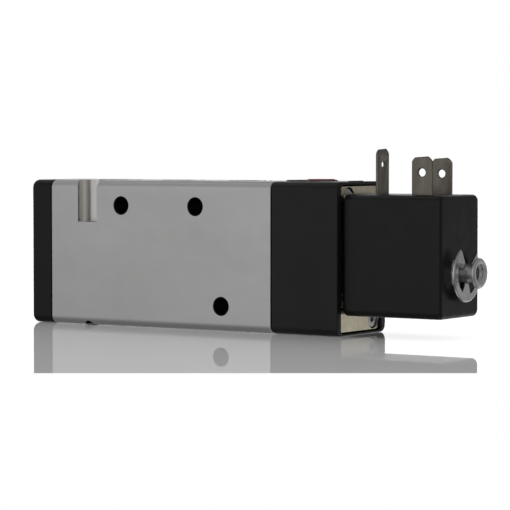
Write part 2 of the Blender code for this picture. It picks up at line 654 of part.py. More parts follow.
def solenoid():
    """Armature tube, fixed core, plunger with its two seals and spring, and the rings."""
    centre = (0, TUBE_Z)
    flange_left = RECESS_FLOOR + GAP
    tube_profile = [
        (flange_left, TUBE_INNER),
        (flange_left, TUBE_FLANGE_RADIUS),
        (flange_left + 1.0, TUBE_FLANGE_RADIUS),
        (flange_left + 1.0, TUBE_OUTER),
        (TUBE_RIGHT - 0.3, TUBE_OUTER),
        (TUBE_RIGHT, TUBE_OUTER - 0.2),
        (TUBE_RIGHT, TUBE_INNER),
    ]
    turned("armature_tube", "X", centre, tube_profile, "steel", sides=20)
    ring = round_ring_profile(RECESS_FLOOR - 0.6, 5.8, 0.55)
    turned("tube_o_ring", "X", centre, ring, "rubber", sides=16)

    core_radius = TUBE_INNER - GAP
    core_profile = [
        (CORE_LEFT, 0.8),
        (CORE_LEFT, core_radius),
        (TUBE_RIGHT, core_radius),
        (TUBE_RIGHT, CORE_NECK_RADIUS),
        (CORE_FLANGE_LEFT, CORE_NECK_RADIUS),
        (CORE_FLANGE_LEFT, CORE_FLANGE_RADIUS - 0.15),
        (CORE_FLANGE_LEFT + 0.15, CORE_FLANGE_RADIUS),
        (CORE_RIGHT - 0.4, CORE_FLANGE_RADIUS),
        (CORE_RIGHT, CORE_FLANGE_RADIUS - 0.6),
        (CORE_RIGHT, THREAD_RADIUS + 0.35),
        (CORE_RIGHT - 0.35, THREAD_RADIUS),
        (CORE_FLANGE_LEFT, THREAD_RADIUS),
        (CORE_FLANGE_LEFT - 0.3, EXHAUST_RADIUS),
        (COIL_RIGHT, EXHAUST_RADIUS),
        (COIL_RIGHT - 1, 0.8),
    ]
    turned("fixed_core", "X", centre, core_profile, "steel", sides=20)

    plunger_profile = [
        (PLUNGER_LEFT + 1.5, 0),
        (PLUNGER_LEFT + 1.5, 2.2),
        (PLUNGER_LEFT, 2.2),
        (PLUNGER_LEFT, core_radius),
        (PLUNGER_SHOULDER, core_radius),
        (PLUNGER_SHOULDER, 2.3),
        (PLUNGER_RIGHT, 2.3),
        (PLUNGER_RIGHT, 1.6),
        (PLUNGER_RIGHT - 1.2, 1.6),
        (PLUNGER_RIGHT - 1.2, 0),
    ]
    turned("plunger", "X", centre, plunger_profile, "steel", sides=16, start=PLUNGER_LEFT)
    seals = (
        ("plunger_seat_seal", PLUNGER_LEFT - 0.4, PLUNGER_LEFT + 1.2, 1.9),
        ("plunger_exhaust_seal", PLUNGER_RIGHT - 0.9, PLUNGER_RIGHT + 0.3, 1.3),
    )
    for name, start, end, radius in seals:
        disc = [(start, 0), (start, radius), (end, radius), (end, 0)]
        turned(name, "X", centre, disc, "rubber", sides=12, start=PLUNGER_LEFT)
    coil_spring("plunger_spring", centre, PLUNGER_SHOULDER + GAP, CORE_LEFT - GAP, 2.95, 0.28, 5)
    ring_right = COIL_LEFT - GAP
    ring = ring_profile(PLATE_RIGHT + GAP, ring_right, TUBE_OUTER + GAP, 6.5)
    turned("coil_seal_ring", "X", centre, ring, "rubber", sides=20)


def coil():
    """Moulded coil block with its yoke, bobbin and winding, open at the back."""
    half = COIL_WIDTH / 2

    def outline(inset):
        bottom, top = COIL_BOTTOM + inset, COIL_TOP - inset
        return rounded_rectangle(-half + inset, half - inset, bottom, top, COIL_EDGE_ROUNDING - inset)

    sections = rounded_end(outline, COIL_LEFT, COIL_LEFT_ROUNDING, outward=-1)[::-1]
    sections += rounded_end(outline, COIL_RIGHT, COIL_RIGHT_ROUNDING)
    moulding = lofted("coil_housing", "X", sections, "coil_plastic")
    wall = 1.6
    room_top = 28.7
    room_right = COIL_RIGHT - 1.8
    room = block(
        "coil_room", (COIL_LEFT - 1, -half + wall, COIL_BOTTOM + wall), (room_right, half - wall, room_top)
    )
    cut(moulding, room)
    tube_hole = TUBE_OUTER + GAP
    cut(moulding, drill("X", (0, TUBE_Z), [(room_right - 1, tube_hole), (COIL_RIGHT + 1, tube_hole)]))
    for _, y, _ in POWER_TOPS:
        cut(moulding, blade_slot(POWER_X, y, BLADE_WIDTH, BLADE_THICKNESS))
    cut(moulding, blade_slot(GROUND_X, 0, BLADE_THICKNESS, BLADE_WIDTH))
    thread_x = (POWER_X + GROUND_X) / 2
    cut(moulding, drill("Z", (thread_x, 0), [(COIL_TOP - 6, 1.25), (COIL_TOP + 1, 1.25)], sides=12))

    plate = 2.0
    left, right = COIL_LEFT + 0.35, room_right - GAP
    top, bottom = room_top - GAP, COIL_BOTTOM + wall + GAP
    frame = [
        (left, bottom),
        (left + plate, bottom),
        (left + plate, top - plate),
        (right - plate, top - plate),
        (right - plate, bottom),
        (right, bottom),
        (right, top),
        (left, top),
    ]
    half_yoke = half - wall - GAP
    yoke = prism("yoke", "Y", frame, -half_yoke, half_yoke, "steel")
    cut(yoke, drill("X", (0, TUBE_Z), [(left - 1, tube_hole), (right + 1, tube_hole)]))
    start, end = left + plate + GAP, right - plate - GAP
    hub, rim, cheek = tube_hole + 0.9, 8.2, 1.3
    profile = [
        (start, tube_hole),
        (start, rim),
        (start + cheek, rim),
        (start + cheek, hub),
        (end - cheek, hub),
        (end - cheek, rim),
        (end, rim),
        (end, tube_hole),
    ]
    turned("bobbin", "X", (0, TUBE_Z), profile, "white_plastic", sides=16)
    windings = ring_profile(start + cheek + GAP, end - cheek - GAP, hub + GAP, rim - 0.2)
    turned("winding", "X", (0, TUBE_Z), windings, "copper", sides=16)


def blade_slot(x, y, along_x, along_y):
    """Cutter for the slot in the moulding that holds a contact blade."""
    half_x, half_y = along_x / 2 + GAP, along_y / 2 + GAP
    low = (x - half_x, y - half_y, BLADE_ROOT - GAP)
    return block("blade_slot", low, (x + half_x, y + half_y, COIL_TOP + 1))


def blade(name, facing, centre, at, top):
    """Contact blade with chamfered top corners and a detent hole; it faces along an axis."""
    half = BLADE_WIDTH / 2
    corner_width, corner_drop = 1.4, 1.2
    outline = [
        (centre - half, BLADE_ROOT),
        (centre + half, BLADE_ROOT),
        (centre + half, top - corner_drop),
        (centre + half - corner_width, top),
        (centre - half + corner_width, top),
        (centre - half, top - corner_drop),
    ]
    front, back = at - BLADE_THICKNESS / 2, at + BLADE_THICKNESS / 2
    piece = prism(name, facing, outline, front, back, "blade")
    hole_centre = (centre, top - BLADE_HOLE_DROP)
    hole = [(front - 1, BLADE_HOLE_RADIUS), (back + 1, BLADE_HOLE_RADIUS)]
    cut(piece, drill(facing, hole_centre, hole, sides=16))
    edge = piece.modifiers.new("tapered edges", "BEVEL")
    edge.width = 0.12 * MM
    edge.limit_method = "ANGLE"
    edge.angle_limit = math.radians(50)


def contacts():
    for label, y, top in POWER_TOPS:
        blade("terminal_power_" + label, "Y", POWER_X, y, top)
    blade("terminal_ground", "X", 0, GROUND_X, GROUND_TOP)


def retaining_clip():
    """Spring clip on the core's neck: a ring open at the top, with three prongs that grip the neck."""
    opening, half_opening = 82, 36  # degrees, from +Y towards +Z
    outer_centre = Vector((0, TUBE_Z - CLIP_DROP))
    inner_centre = Vector((0, TUBE_Z))
    grip, window, outer = CORE_NECK_RADIUS + GAP, CLIP_WINDOW, CLIP_OUTER
    half_prong = 17
    first = opening + half_opening
    last = opening + 360 - half_opening

    def arc(centre, radius, start, end, steps):
        angles = [math.radians(start + (end - start) * i / steps) for i in range(steps + 1)]
        return [tuple(centre + radius * Vector((math.cos(a), math.sin(a)))) for a in angles]

    middle = (first + last) / 2
    points = arc(outer_centre, outer, first, last, 24)
    points += arc(inner_centre, grip, last, last - 2 * half_prong, 5)
    points += arc(outer_centre, window, last - 2 * half_prong - 3, middle + half_prong + 6, 9)
    points += arc(inner_centre, grip, middle + half_prong, middle - half_prong, 5)
    points += arc(outer_centre, window, middle - half_prong - 6, first + 2 * half_prong + 3, 9)
    points += arc(inner_centre, grip, first + 2 * half_prong, first, 5)
    prism("retaining_clip", "X", points, CLIP_LEFT, CLIP_LEFT + CLIP_THICKNESS, "spring_steel")


valve_body()
end_cap()
spool_stack()
pilot_drive()
pilot_housing()
manual_override()
pilot_base()
solenoid()
coil()
contacts()
retaining_clip()
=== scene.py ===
"""Looks of a solenoid directional valve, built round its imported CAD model.

The frame is the CAD's: +X from the end cap to the coil, +Z up, and the origin in the middle of the
valve body's bottom face. Sizes here are in millimetres unless a name says otherwise.
"""

import json
import math

import bmesh
import bpy
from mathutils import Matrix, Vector


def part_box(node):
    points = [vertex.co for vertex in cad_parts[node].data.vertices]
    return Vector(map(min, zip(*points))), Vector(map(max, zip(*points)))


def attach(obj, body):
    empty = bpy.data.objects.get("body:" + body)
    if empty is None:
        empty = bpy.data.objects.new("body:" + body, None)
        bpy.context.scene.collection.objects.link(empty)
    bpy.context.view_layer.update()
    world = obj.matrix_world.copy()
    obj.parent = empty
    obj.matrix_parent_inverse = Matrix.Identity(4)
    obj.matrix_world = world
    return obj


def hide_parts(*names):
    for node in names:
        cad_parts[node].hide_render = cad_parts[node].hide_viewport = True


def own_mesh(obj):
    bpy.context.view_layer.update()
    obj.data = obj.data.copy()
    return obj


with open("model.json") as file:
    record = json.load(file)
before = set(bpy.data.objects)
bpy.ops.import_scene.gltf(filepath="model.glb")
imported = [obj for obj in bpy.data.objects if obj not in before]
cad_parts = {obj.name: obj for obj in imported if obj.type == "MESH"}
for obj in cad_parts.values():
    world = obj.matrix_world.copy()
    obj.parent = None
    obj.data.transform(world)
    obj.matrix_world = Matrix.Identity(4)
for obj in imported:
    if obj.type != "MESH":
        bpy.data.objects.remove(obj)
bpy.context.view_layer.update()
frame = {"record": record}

MM = 0.001
ROUND = 72  # sides of a turned surface
BODY_OF = {node: body for body, nodes in frame["record"]["behaviour"]["bodies"].items() for node in nodes}
SLOT_OF = {part["node"]: part["material_slot"] for part in frame["record"]["subparts"]}


class Box:
    """A CAD node's box, in millimetres."""

    def __init__(self, node):
        low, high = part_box(node)
        self.left, self.front, self.bottom = (value / MM for value in low)
        self.right, self.back, self.top = (value / MM for value in high)
        self.x = (self.left + self.right) / 2
        self.y = (self.front + self.back) / 2
        self.z = (self.bottom + self.top) / 2
        self.radius = (self.top - self.bottom) / 2


BODY = Box("valve_body")
CAP = Box("end_cap")
HOUSING = Box("pilot_housing")
PLATE = Box("pilot_base")
COIL = Box("coil_housing")
CORE = Box("fixed_core")
TUBE = Box("armature_tube")
SPOOL = Box("spool")

SPOOL_Z = SPOOL.z
TUBE_Z = CORE.z
GAP = 0.3  # to a neighbour inside the valve
PAST = 1.0  # reach of a cutter past the face that it opens

EDGE_RADIUS = 2.4  # long edges of the cap, the body and the housing
BORE_RADIUS = 8.5
BORE_CHAMFER = 0.5
PITCH = 11.5  # from a top port to the nearest bottom port
PORT_RADIUS = 6.5
PORT_DEPTH = 8.8
PORT_CHAMFER = 0.6
PORT_THREAD_PITCH = 1.337
PORT_THREAD_HEIGHT = 0.75
PASSAGE_RADIUS = 4.0
PASSAGE_CHAMFER = 0.4
PASSAGE_END = 4.0  # from the spool's axis
SIDE_HOLES = ((-13.0, 35.0), (13.0, 35.0), (21.8, 7.1))
SIDE_HOLE_RADIUS = 2.5
SIDE_HOLE_CHAMFER = 0.2
SLOT_X = 25.2
SLOT_RADIUS = 4.1
SLOT_INSET = 2.3
SLOT_FLOOR = 30.1
SLOT_SCREW_RADIUS = 2.0

BODY_SCREW = {"head_radius": 2.75, "head_height": 2.8, "shank_radius": 1.5, "socket": 2.5}
BODY_SCREW_HOLE = 1.8
BODY_SCREW_POCKET = BODY_SCREW["head_radius"] + GAP
PLATE_SCREW = {"head_radius": 2.5, "head_height": 1.2, "shank_radius": 1.25, "socket": 2.0}
PLATE_SCREW_HOLE = 1.6
PLATE_SCREW_POCKET = 2.75
PLATE_SCREWS = {"pilot_screw_upper": (-5.6, 38.0), "pilot_screw_lower": (7.5, 4.0)}
SCREW_PITCH = 0.5

CAP_ROUNDING = 2.0
CAP_FLOOR = 1.5
SPRING_WELL_RADIUS = 4.8
GROOVE_DEPTH = 1.5
GROOVE = (9.9, 11.6)  # radii, as for the gaskets
GASKETS = {"end_cap_gasket": (10.2, 11.3), "housing_gasket": (10.3, 11.2)}

PAD = {"left": 38.95, "right": 51.4, "bottom": -9.5, "top": 5.0, "radius": 5.0}  # seen from above
PAD_HEIGHT = 0.4
CATCH_FRONT = -4.2
CATCH_BACK = 1.7
CATCH_WIDTH = 1.5
CATCH_HEIGHT = 0.25
CATCH_INSET = 0.45
RECESS_FLOOR = 54.15
CHAMBER_RADIUS = 9.3  # of the pilot piston
CHAMBER_END = 50.4
HOUSING_SCREW_SEAT = 50.75
FILTER_RADIUS = 1.7

TUBE_RADIUS = 4.5
TUBE_BORE = 4.0
TUBE_FLANGE = 7.0
TUBE_HOLE = TUBE_RADIUS + GAP
FLANGE_HOLE = TUBE_FLANGE + GAP
FLANGE_SEAT = 0.6  # depth of the flange's recess in the plate
NECK_RADIUS = 2.55
CORE_PASSAGE = 0.8
EXHAUST_RADIUS = 1.9
EXHAUST_THREAD = 2.45
EXHAUST_CREST = 2.15
EXHAUST_PITCH = 0.5
PLUNGER_SHOULDER = 69.0
PLUNGER_SPIGOT = 2.3  # inside the plunger spring
SEAT_POCKET = (1.5, 2.2)  # depth and radius
EXHAUST_POCKET = (1.2, 1.6)

LAND_RADIUS = 4.5
WAIST_RADIUS = 2.9
WAISTS = ((-23.5, -15.25), (-3.75, 7.75), (19.25, 27.25))
SEAL_BORE = LAND_RADIUS + GAP
STACK_RADIUS = BORE_RADIUS - GAP
CAGE_HOLE_RADIUS = 2.6
PISTON_ROD_RADIUS = 3.0
PISTON_FACE = 43.4
PISTON_LENGTH = 5.0
PISTON_GROOVE = (1.4, 3.8)  # from the face to each side
PISTON_GROOVE_DEPTH = 1.7

PLATE_CORNER = 1.1
COIL_CORNER = 2.01
COIL_WALL = 1.6
COIL_END_WALL = 1.8
COIL_ROOM_TOP = 28.7
COIL_LEFT_ROUNDING = 1.0
COIL_RIGHT_ROUNDING = 1.2
INSERT_RADIUS = 1.25
YOKE_PLATE = 2.0
BOBBIN_HUB = 5.7
BOBBIN_CHEEK = 1.3
WINDING_BORE = 6.0
WIRE_RADIUS = 0.22

BLADE_ROUNDING = 0.34  # nearly full rounds on the edges
BLADE_TIP = (1.45, 1.35)  # the slope of a tip's corner, across and down
BLADE_BULGE = 0.12
BLADE_HOLE_DROP = 4.35
BLADE_HOLE_RIM = 1.32
BLADE_HOLE_RADIUS = {"Y": 1.1, "X": 0.8}  # by the way that the blade faces

CLIP_DROP = 0.3
CLIP_GRIP = 2.85
CLIP_WINDOW = 5.5
CLIP_RADIUS = 7.6
CLIP_OPENING = 82  # degrees from +Y to the middle of the opening
CLIP_HALF_OPENING = 36
CLIP_HALF_PRONG = 17
CLIP_CROWN = 0.5


# ---- materials


def add_node(tree, kind, inputs, **settings):
    """New shader node. An input is given either a value or the output that feeds it."""
    node = tree.nodes.new(kind)
    for setting, value in settings.items():
        setattr(node, setting, value)
    for name, value in inputs.items():
        if isinstance(value, bpy.types.NodeSocket):
            tree.links.new(value, node.inputs[name])
        else:
            node.inputs[name].default_value = value
    return node


FINISHES = {}  # materials by name, with the record's slots among them


class Finish:
    """A Principled material with procedural colour, roughness and relief.

    A pattern is noise, given by the size of its features in millimetres, its detail, and how far it
    is stretched along each axis.
    """

    def __init__(self, name, **sockets):
        self.material = bpy.data.materials.new(name)
        self.material.use_nodes = True
        FINISHES[name] = self.material
        self.tree = self.material.node_tree
        self.shader = self.tree.nodes["Principled BSDF"]
        self.place = self.tree.nodes.new("ShaderNodeTexCoord").outputs["Object"]
        self.relief = None
        for socket, value in sockets.items():
            self.shader.inputs[socket.replace("_", " ")].default_value = value

    def noise(self, size, detail=3.0, stretch=(1, 1, 1)):
        """Output of a noise pattern."""
        scale = [1 / (size * MM * s) for s in stretch]
        mapping = add_node(self.tree, "ShaderNodeMapping", {"Vector": self.place, "Scale": scale})
        inputs = {"Vector": mapping.outputs["Vector"], "Scale": 1.0, "Detail": detail}
        return add_node(self.tree, "ShaderNodeTexNoise", inputs).outputs["Fac"]

    def colour(self, first, second, *pattern):
        """Base colour that runs from the first to the second as the pattern does."""
        ramp = add_node(self.tree, "ShaderNodeValToRGB", {"Fac": self.noise(*pattern)})
        for element, position, colour in zip(ramp.color_ramp.elements, (0.3, 0.7), (first, second)):
            element.position = position
            element.color = (*colour, 1)
        self.tree.links.new(ramp.outputs["Color"], self.shader.inputs["Base Color"])

    def roughness(self, low, high, *pattern):
        """Roughness that runs from low to high as the pattern does."""
        span = {"From Min": 0.3, "From Max": 0.7, "To Min": low, "To Max": high}
        node = add_node(self.tree, "ShaderNodeMapRange", {"Value": self.noise(*pattern), **span})
        self.tree.links.new(node.outputs["Result"], self.shader.inputs["Roughness"])

    def bump(self, height, strength, *pattern):
        """Relief of this height in millimetres, on top of any given before."""
        inputs = {"Distance": height * MM, "Strength": strength, "Height": self.noise(*pattern)}
        if self.relief:
            inputs["Normal"] = self.relief
        self.relief = add_node(self.tree, "ShaderNodeBump", inputs).outputs["Normal"]
        self.tree.links.new(self.relief, self.shader.inputs["Normal"])


def grey(value, warm=0.0):
    """Near-neutral colour, warmer for a positive second value."""
    return (value * (1 + warm), value, value * (1 - warm))


def finish(name, colour, roughness, *bumps, **sockets):
    """Material whose colour, roughness and relief are each given as a Finish method takes them."""
    made = Finish(name, **sockets)
    made.colour(*colour)
    made.roughness(*roughness)
    for bump in bumps:
        made.bump(*bump)
    return made.material


def metal(name, colour, roughness, *bumps, **sockets):
    """Finish of bare metal."""
    return finish(name, colour, roughness, *bumps, Metallic=1.0, **sockets)


def moulded(name, tone):
    """Glass-filled plastic from a lightly eroded mould."""
    colour = (grey(tone * 0.85, -0.02), grey(tone * 1.15, -0.02), 9, 4)
    bumps = ((0.014, 0.6, 0.22, 3), (0.05, 0.15, 5, 2))
    return finish(name, colour, (0.34, 0.44, 2.2, 4), *bumps, Specular_IOR_Level=0.38)


def tooled(name, low, high, roughness, warm=0.0):
    """Bright metal with fine tool marks that run round its axis along X."""
    colour = (grey(low, warm), grey(high, warm), 1.6, 4, (1, 3, 3))
    gloss = (roughness * 0.8, roughness * 1.25, 0.5, 3, (0.4, 3, 3))
    return metal(name, colour, gloss, (0.012, 1.0, 0.1, 2, (1, 40, 40)))


# Freshly cut aluminium in the bores, brighter and glossier, with fine tool marks.
MACHINED = metal(
    "machined_aluminium",
    (grey(0.77, 0.03), grey(0.81, 0.02), 6, 3, (1, 1, 3)),
    (0.22, 0.25, 1.2, 3, (1, 1, 5)),
    (0.002, 0.5, 0.12, 2, (6, 6, 1)),
)
# Painted shade for a drilled wall deep in a bore: near-black, dull metal that stands in for the shade
# inside the hole, with fine tool marks.
SHADED = metal(
    "painted_shade_drilled_wall",
    (grey(0.05, 0.02), grey(0.08, 0.02), 3, 3),
    (0.45, 0.6, 1.2, 3),
    (0.004, 0.5, 0.15, 2),
)
CAP_BLACK = moulded("cap_moulding", 0.006)
PAINTED_SHADE_TUBE_STEEL = tooled("painted_shade_tube_steel", 0.08, 0.12, 0.45)  # painted shade: steel kept near-black to stand for the shade seen through the clip's windows
moulded("black_moulding", 0.0175)
metal(  # bead-blasted and anodised: fine pits, and a faint drift of tone along the extrusion
    "anodised_aluminium",
    (grey(0.82, 0.006), grey(0.87, 0.002), 14, 4, (2.5, 1, 1)),
    (0.43, 0.5, 3.0, 4),
    (0.012, 0.6, 0.16, 2),
    (0.006, 0.4, 0.7, 3, (6, 1, 1)),
)
finish(  # smoother moulding compound, with faint flow marks
    "coil_moulding",
    (grey(0.009, -0.02), grey(0.012, -0.02), 7, 5, (1, 1, 2)),
    (0.34, 0.46, 3.5, 4),
    (0.01, 0.5, 0.3, 3),
    (0.06, 0.15, 6, 2, (1, 1, 2)),
    Specular_IOR_Level=0.4,
)
finish(
    "override_red",
    ((0.6, 0.02, 0.05), (0.68, 0.035, 0.07), 2, 3),
    (0.26, 0.36, 1, 3),
    (0.006, 0.4, 0.25, 2),
    Specular_IOR_Level=0.5,
)
metal(  # passivated, olive-beige, with cloudy tone and fine rolled grain
    "base_plate",
    ((0.8, 0.73, 0.56), (0.9, 0.82, 0.64), 3.5, 4),
    (0.22, 0.3, 1.5, 4),
    (0.003, 0.4, 0.2, 3, (1, 1, 5)),
)
tooled("turned_steel", 0.8, 0.9, 0.38)
tooled("screw_steel", 0.6, 0.72, 0.3, 0.01)
tooled("spring_steel", 0.62, 0.74, 0.24)
metal(  # tinned brass, dull and warm, with rolling lines up the blade and small stains
    "contact_metal",
    ((0.22, 0.2, 0.165), (0.3, 0.28, 0.24), 2.4, 5, (1, 1, 2)),
    (0.22, 0.36, 0.8, 4, (1, 1, 4)),
    (0.005, 0.6, 0.09, 2, (1, 1, 30)),
)
metal(  # enamelled, so lacquer lies over the copper
    "copper_wire",
    ((0.5, 0.17, 0.07), (0.66, 0.27, 0.12), 1.2, 3),
    (0.25, 0.4, 0.6, 3),
    (0.004, 0.4, 0.1, 2),
    Coat_Weight=0.8,
    Coat_Roughness=0.1,
)
finish(
    "seal_rubber",
    ((0.012, 0.012, 0.012), (0.022, 0.022, 0.021), 1.5, 4),
    (0.6, 0.78, 0.8, 3),
    (0.01, 0.5, 0.12, 3),
    Specular_IOR_Level=0.35,
)
finish(
    "inner_plastic",
    ((0.6, 0.6, 0.56), (0.7, 0.7, 0.66), 4, 3),
    (0.36, 0.46, 1, 3),
    (0.006, 0.4, 0.2, 2),
    Specular_IOR_Level=0.5,
    Subsurface_Weight=0.1,
)
metal(  # sintered beads
    "filter_bronze",
    ((0.3, 0.2, 0.08), (0.62, 0.45, 0.2), 0.3, 3),
    (0.45, 0.7, 0.3, 2),
    (0.08, 1.0, 0.25, 2),
)


# ---- mesh building


def place(axis, along, across, up=0.0):
    """Point at a distance along an axis, given its two other coordinates in X, Y, Z order."""
    return Vector({"X": (along, across, up), "Y": (across, along, up), "Z": (across, up, along)}[axis])


def polar(centre, radius, angle):
    """Point on a circle."""
    return (centre[0] + radius * math.cos(angle), centre[1] + radius * math.sin(angle))


def full_turn(count):
    """Equal angles round a full turn."""
    return [2 * math.pi * i / count for i in range(count)]


def linked(name, data):
    """New object in the scene."""
    piece = bpy.data.objects.new(name, data)
    bpy.context.scene.collection.objects.link(piece)
    return piece


def make(name, shape, material=MACHINED):
    """Object from a bmesh in millimetres."""
    bmesh.ops.recalc_face_normals(shape, faces=shape.faces)
    bmesh.ops.scale(shape, vec=(MM, MM, MM), verts=shape.verts)
    mesh = bpy.data.meshes.new(name)
    shape.to_mesh(mesh)
    shape.free()
    mesh.materials.append(material)
    return linked(name, mesh)


def rounded_rectangle(left, right, bottom, top, radius, steps=12):
    """Outline with four round corners."""
    corners = (
        (right - radius, top - radius, 0),
        (left + radius, top - radius, 90),
        (left + radius, bottom + radius, 180),
        (right - radius, bottom + radius, 270),
    )
    points = []
    for a, b, start in corners:
        for step in range(steps + 1):
            points.append(polar((a, b), radius, math.radians(start + 90 * step / steps)))
    return points


def outline_of(left, right, bottom, top, radius):
    """Rounded rectangle as a function of the inset from its sides."""

    def outline(inset=0.0):
        return rounded_rectangle(left + inset, right - inset, bottom + inset, top - inset, radius - inset)

    return outline


section = outline_of(BODY.front, BODY.back, BODY.bottom, BODY.top, EDGE_RADIUS)
plate_outline = outline_of(PLATE.front, PLATE.back, PLATE.bottom, PLATE.top, PLATE_CORNER)
coil_outline = outline_of(COIL.front, COIL.back, COIL.bottom, COIL.top, COIL_CORNER)
pad_outline = outline_of(**PAD)


def rounded_end(outline_at, face, outward, radius, steps=6):
    """Sections that round a prism's end edge, from the wall to the face."""
    sections = []
    for step in range(steps + 1):
        angle = math.radians(90 * step / steps)
        depth = radius * (1 - math.sin(angle))
        sections.append((face - outward * depth, outline_at(radius * (1 - math.cos(angle)))))
    return sections


def skin(shape, loops):
    """Walls and two end faces through loops of vertices with equal counts."""
    count = len(loops[0])
    for first, second in zip(loops, loops[1:]):
        for i in range(count):
            j = (i + 1) % count
            shape.faces.new((first[i], first[j], second[j], second[i]))
    shape.faces.new(list(reversed(loops[0])))
    shape.faces.new(loops[-1])


def lofted(name, axis, sections, material=MACHINED):
    """Body through outlines with equal point counts, each at its place along an axis."""
    shape = bmesh.new()
    loops = [[shape.verts.new(place(axis, at, *point)) for point in outline] for at, outline in sections]
    skin(shape, loops)
    return make(name, shape, material)


def eased(name, axis, outline_at, start, end, rounding, material=MACHINED):
    """Prism from start up to end with both end edges rounded."""
    low = rounded_end(outline_at, start, -1, rounding)
    high = rounded_end(outline_at, end, 1, rounding)
    return lofted(name, axis, low[::-1] + high, material)


def prism(name, axis, outline, start, end, material=MACHINED):
    """Plain prism from start to end."""
    return lofted(name, axis, [(start, outline), (end, outline)], material)


def block(name, low, high, material=MACHINED, rounding=0.0):
    """Box between two corners, its edges rounded if a radius is given."""
    outline = [(low[1], low[2]), (high[1], low[2]), (high[1], high[2]), (low[1], high[2])]
    piece = prism(name, "X", outline, low[0], high[0], material)
    if rounding:
        bevel = piece.modifiers.new("round edges", "BEVEL")
        bevel.width = rounding * MM
        bevel.segments = 10
    return piece


def turned(name, axis, centre, profile, material=MACHINED, sides=ROUND):
    """Turned piece: solid if its profile of (along, radius) runs from radius 0 to 0, or else a ring."""
    shape = bmesh.new()
    rings = []
    for along, radius in profile:
        if radius == 0:
            rings.append([shape.verts.new(place(axis, along, *centre))])
            continue
        points = [polar(centre, radius, angle) for angle in full_turn(sides)]
        rings.append([shape.verts.new(place(axis, along, *point)) for point in points])
    pairs = list(zip(rings, rings[1:]))
    if len(rings[0]) > 1:
        pairs.append((rings[-1], rings[0]))
    for first, second in pairs:
        for i in range(sides):
            j = (i + 1) % sides
            corners = [first[i % len(first)], first[j % len(first)]]
            corners += [second[j % len(second)], second[i % len(second)]]
            shape.faces.new(list(dict.fromkeys(corners)))
    return make(name, shape, material)


def softened(profile, radius, steps=3):
    """Turned profile with each corner rounded, where its two neighbours leave room."""
    solid = profile[0][1] == 0
    points = []
    for i, point in enumerate(profile):
        here = Vector(point)
        if solid and i in (0, len(profile) - 1):
            points.append(point)
            continue
        before = Vector(profile[i - 1]) - here
        after = Vector(profile[(i + 1) % len(profile)]) - here
        reach = min(radius, before.length * 0.45, after.length * 0.45)
        start, end = here + before.normalized() * reach, here + after.normalized() * reach
        for step in range(steps + 1):
            t = step / steps
            points.append(tuple((1 - t) ** 2 * start + 2 * t * (1 - t) * here + t * t * end))
    return points


def ring_profile(start, end, inner, outer):
    """Profile of a flat ring, or of a disc where the inner radius is 0."""
    return [(start, inner), (start, outer), (end, outer), (end, inner)]


def stepped(bore, steps, end):
    """Profile over a bore, from steps of where each begins and its radius."""
    profile = [(steps[0][0], bore)]
    for (start, radius), (after, _) in zip(steps, [*steps[1:], (end, 0)]):
        profile += [(start, radius), (after, radius)]
    return [*profile, (end, bore)]


def round_ring(centre, mean_radius, section_radius, steps=20):
    """Profile of an O-ring."""
    return [polar((centre, mean_radius), section_radius, angle) for angle in full_turn(steps)]


def drill(axis, centre, steps, sides=ROUND, material=MACHINED):
    """Cutter for a round hole from (along, radius) steps; the hole's wall gets the material."""
    return turned("drill", axis, centre, [(steps[0][0], 0), *steps, (steps[-1][0], 0)], material, sides)


def mouth(face, outward, radius, depth, rim=None):
    """Last steps of a hole that widens to its rim over a depth before it opens at a face."""
    rim = rim or radius + depth
    return [(face - outward * depth, radius), (face, rim), (face + outward * PAST, rim)]


def through(start, end, radius, depth, rim=None):
    """Steps of a hole from one face to another with a mouth at each."""
    return mouth(start, -1, radius, depth, rim)[::-1] + mouth(end, 1, radius, depth, rim)


def angled_drill(start, end, radius):
    """Cutter for a straight round hole between any two points."""
    tool = drill("Z", (0, 0), [(0, radius), ((end - start).length, radius)], sides=32)
    tool.location = start * MM
    tool.rotation_euler = (end - start).to_track_quat("Z", "Y").to_euler()
    return tool


def boolean(piece, operation, tools):
    """Boolean modifiers that also carry over the tools' materials."""
    for tool in tools:
        modifier = piece.modifiers.new(operation.lower(), "BOOLEAN")
        modifier.operation = operation
        modifier.material_mode = "TRANSFER"
        modifier.object = tool


def cut(piece, *tools):
    """Takes the tools out of the piece."""
    boolean(piece, "DIFFERENCE", tools)


def join(piece, *tools):
    """Adds the tools to the piece."""
    boolean(piece, "UNION", tools)


def settle(piece, bevel=0.0, sharp=32):
    """Applies the modifiers, removes the cutters and shades the result."""
    tools = [modifier.object for modifier in piece.modifiers if modifier.type == "BOOLEAN"]
    if bevel:
        modifier = piece.modifiers.new("soft edges", "BEVEL")
        modifier.width = bevel * MM
        modifier.segments = 2
        modifier.limit_method = "ANGLE"
        modifier.angle_limit = math.radians(40)
        modifier.use_clamp_overlap = False
    bpy.context.view_layer.update()
    graph = bpy.context.evaluated_depsgraph_get()
    mesh = bpy.data.meshes.new_from_object(piece.evaluated_get(graph), depsgraph=graph)
    piece.modifiers.clear()
    piece.data = mesh
    for tool in tools:
        bpy.data.objects.remove(tool, do_unlink=True)
    mesh.shade_smooth()
    mesh.set_sharp_from_angle(angle=math.radians(sharp))
    return piece


def stand_for(piece, node, **shading):
    """The piece, once settled, replaces a CAD node and rides on its body."""
    settle(piece, **shading)
    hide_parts(node)
    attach(piece, BODY_OF[node])
    return piece


def finish_of(node):
    """Material of a CAD node's slot."""
    return FINISHES[SLOT_OF[node]]


def turn_node(node, axis, centre, profile, soften=0.15):
    """Smooth turned piece in place of a CAD node."""
    if soften:
        profile = softened(profile, soften)
    return stand_for(turned(node + "_turned", axis, centre, profile, finish_of(node)), node)


def ring_node(node, centre, inner, outer, soften=0.15):
    """Flat ring or disc along X in place of a CAD node."""
    box = Box(node)
    return turn_node(node, "X", centre, ring_profile(box.left, box.right, inner, outer), soften)


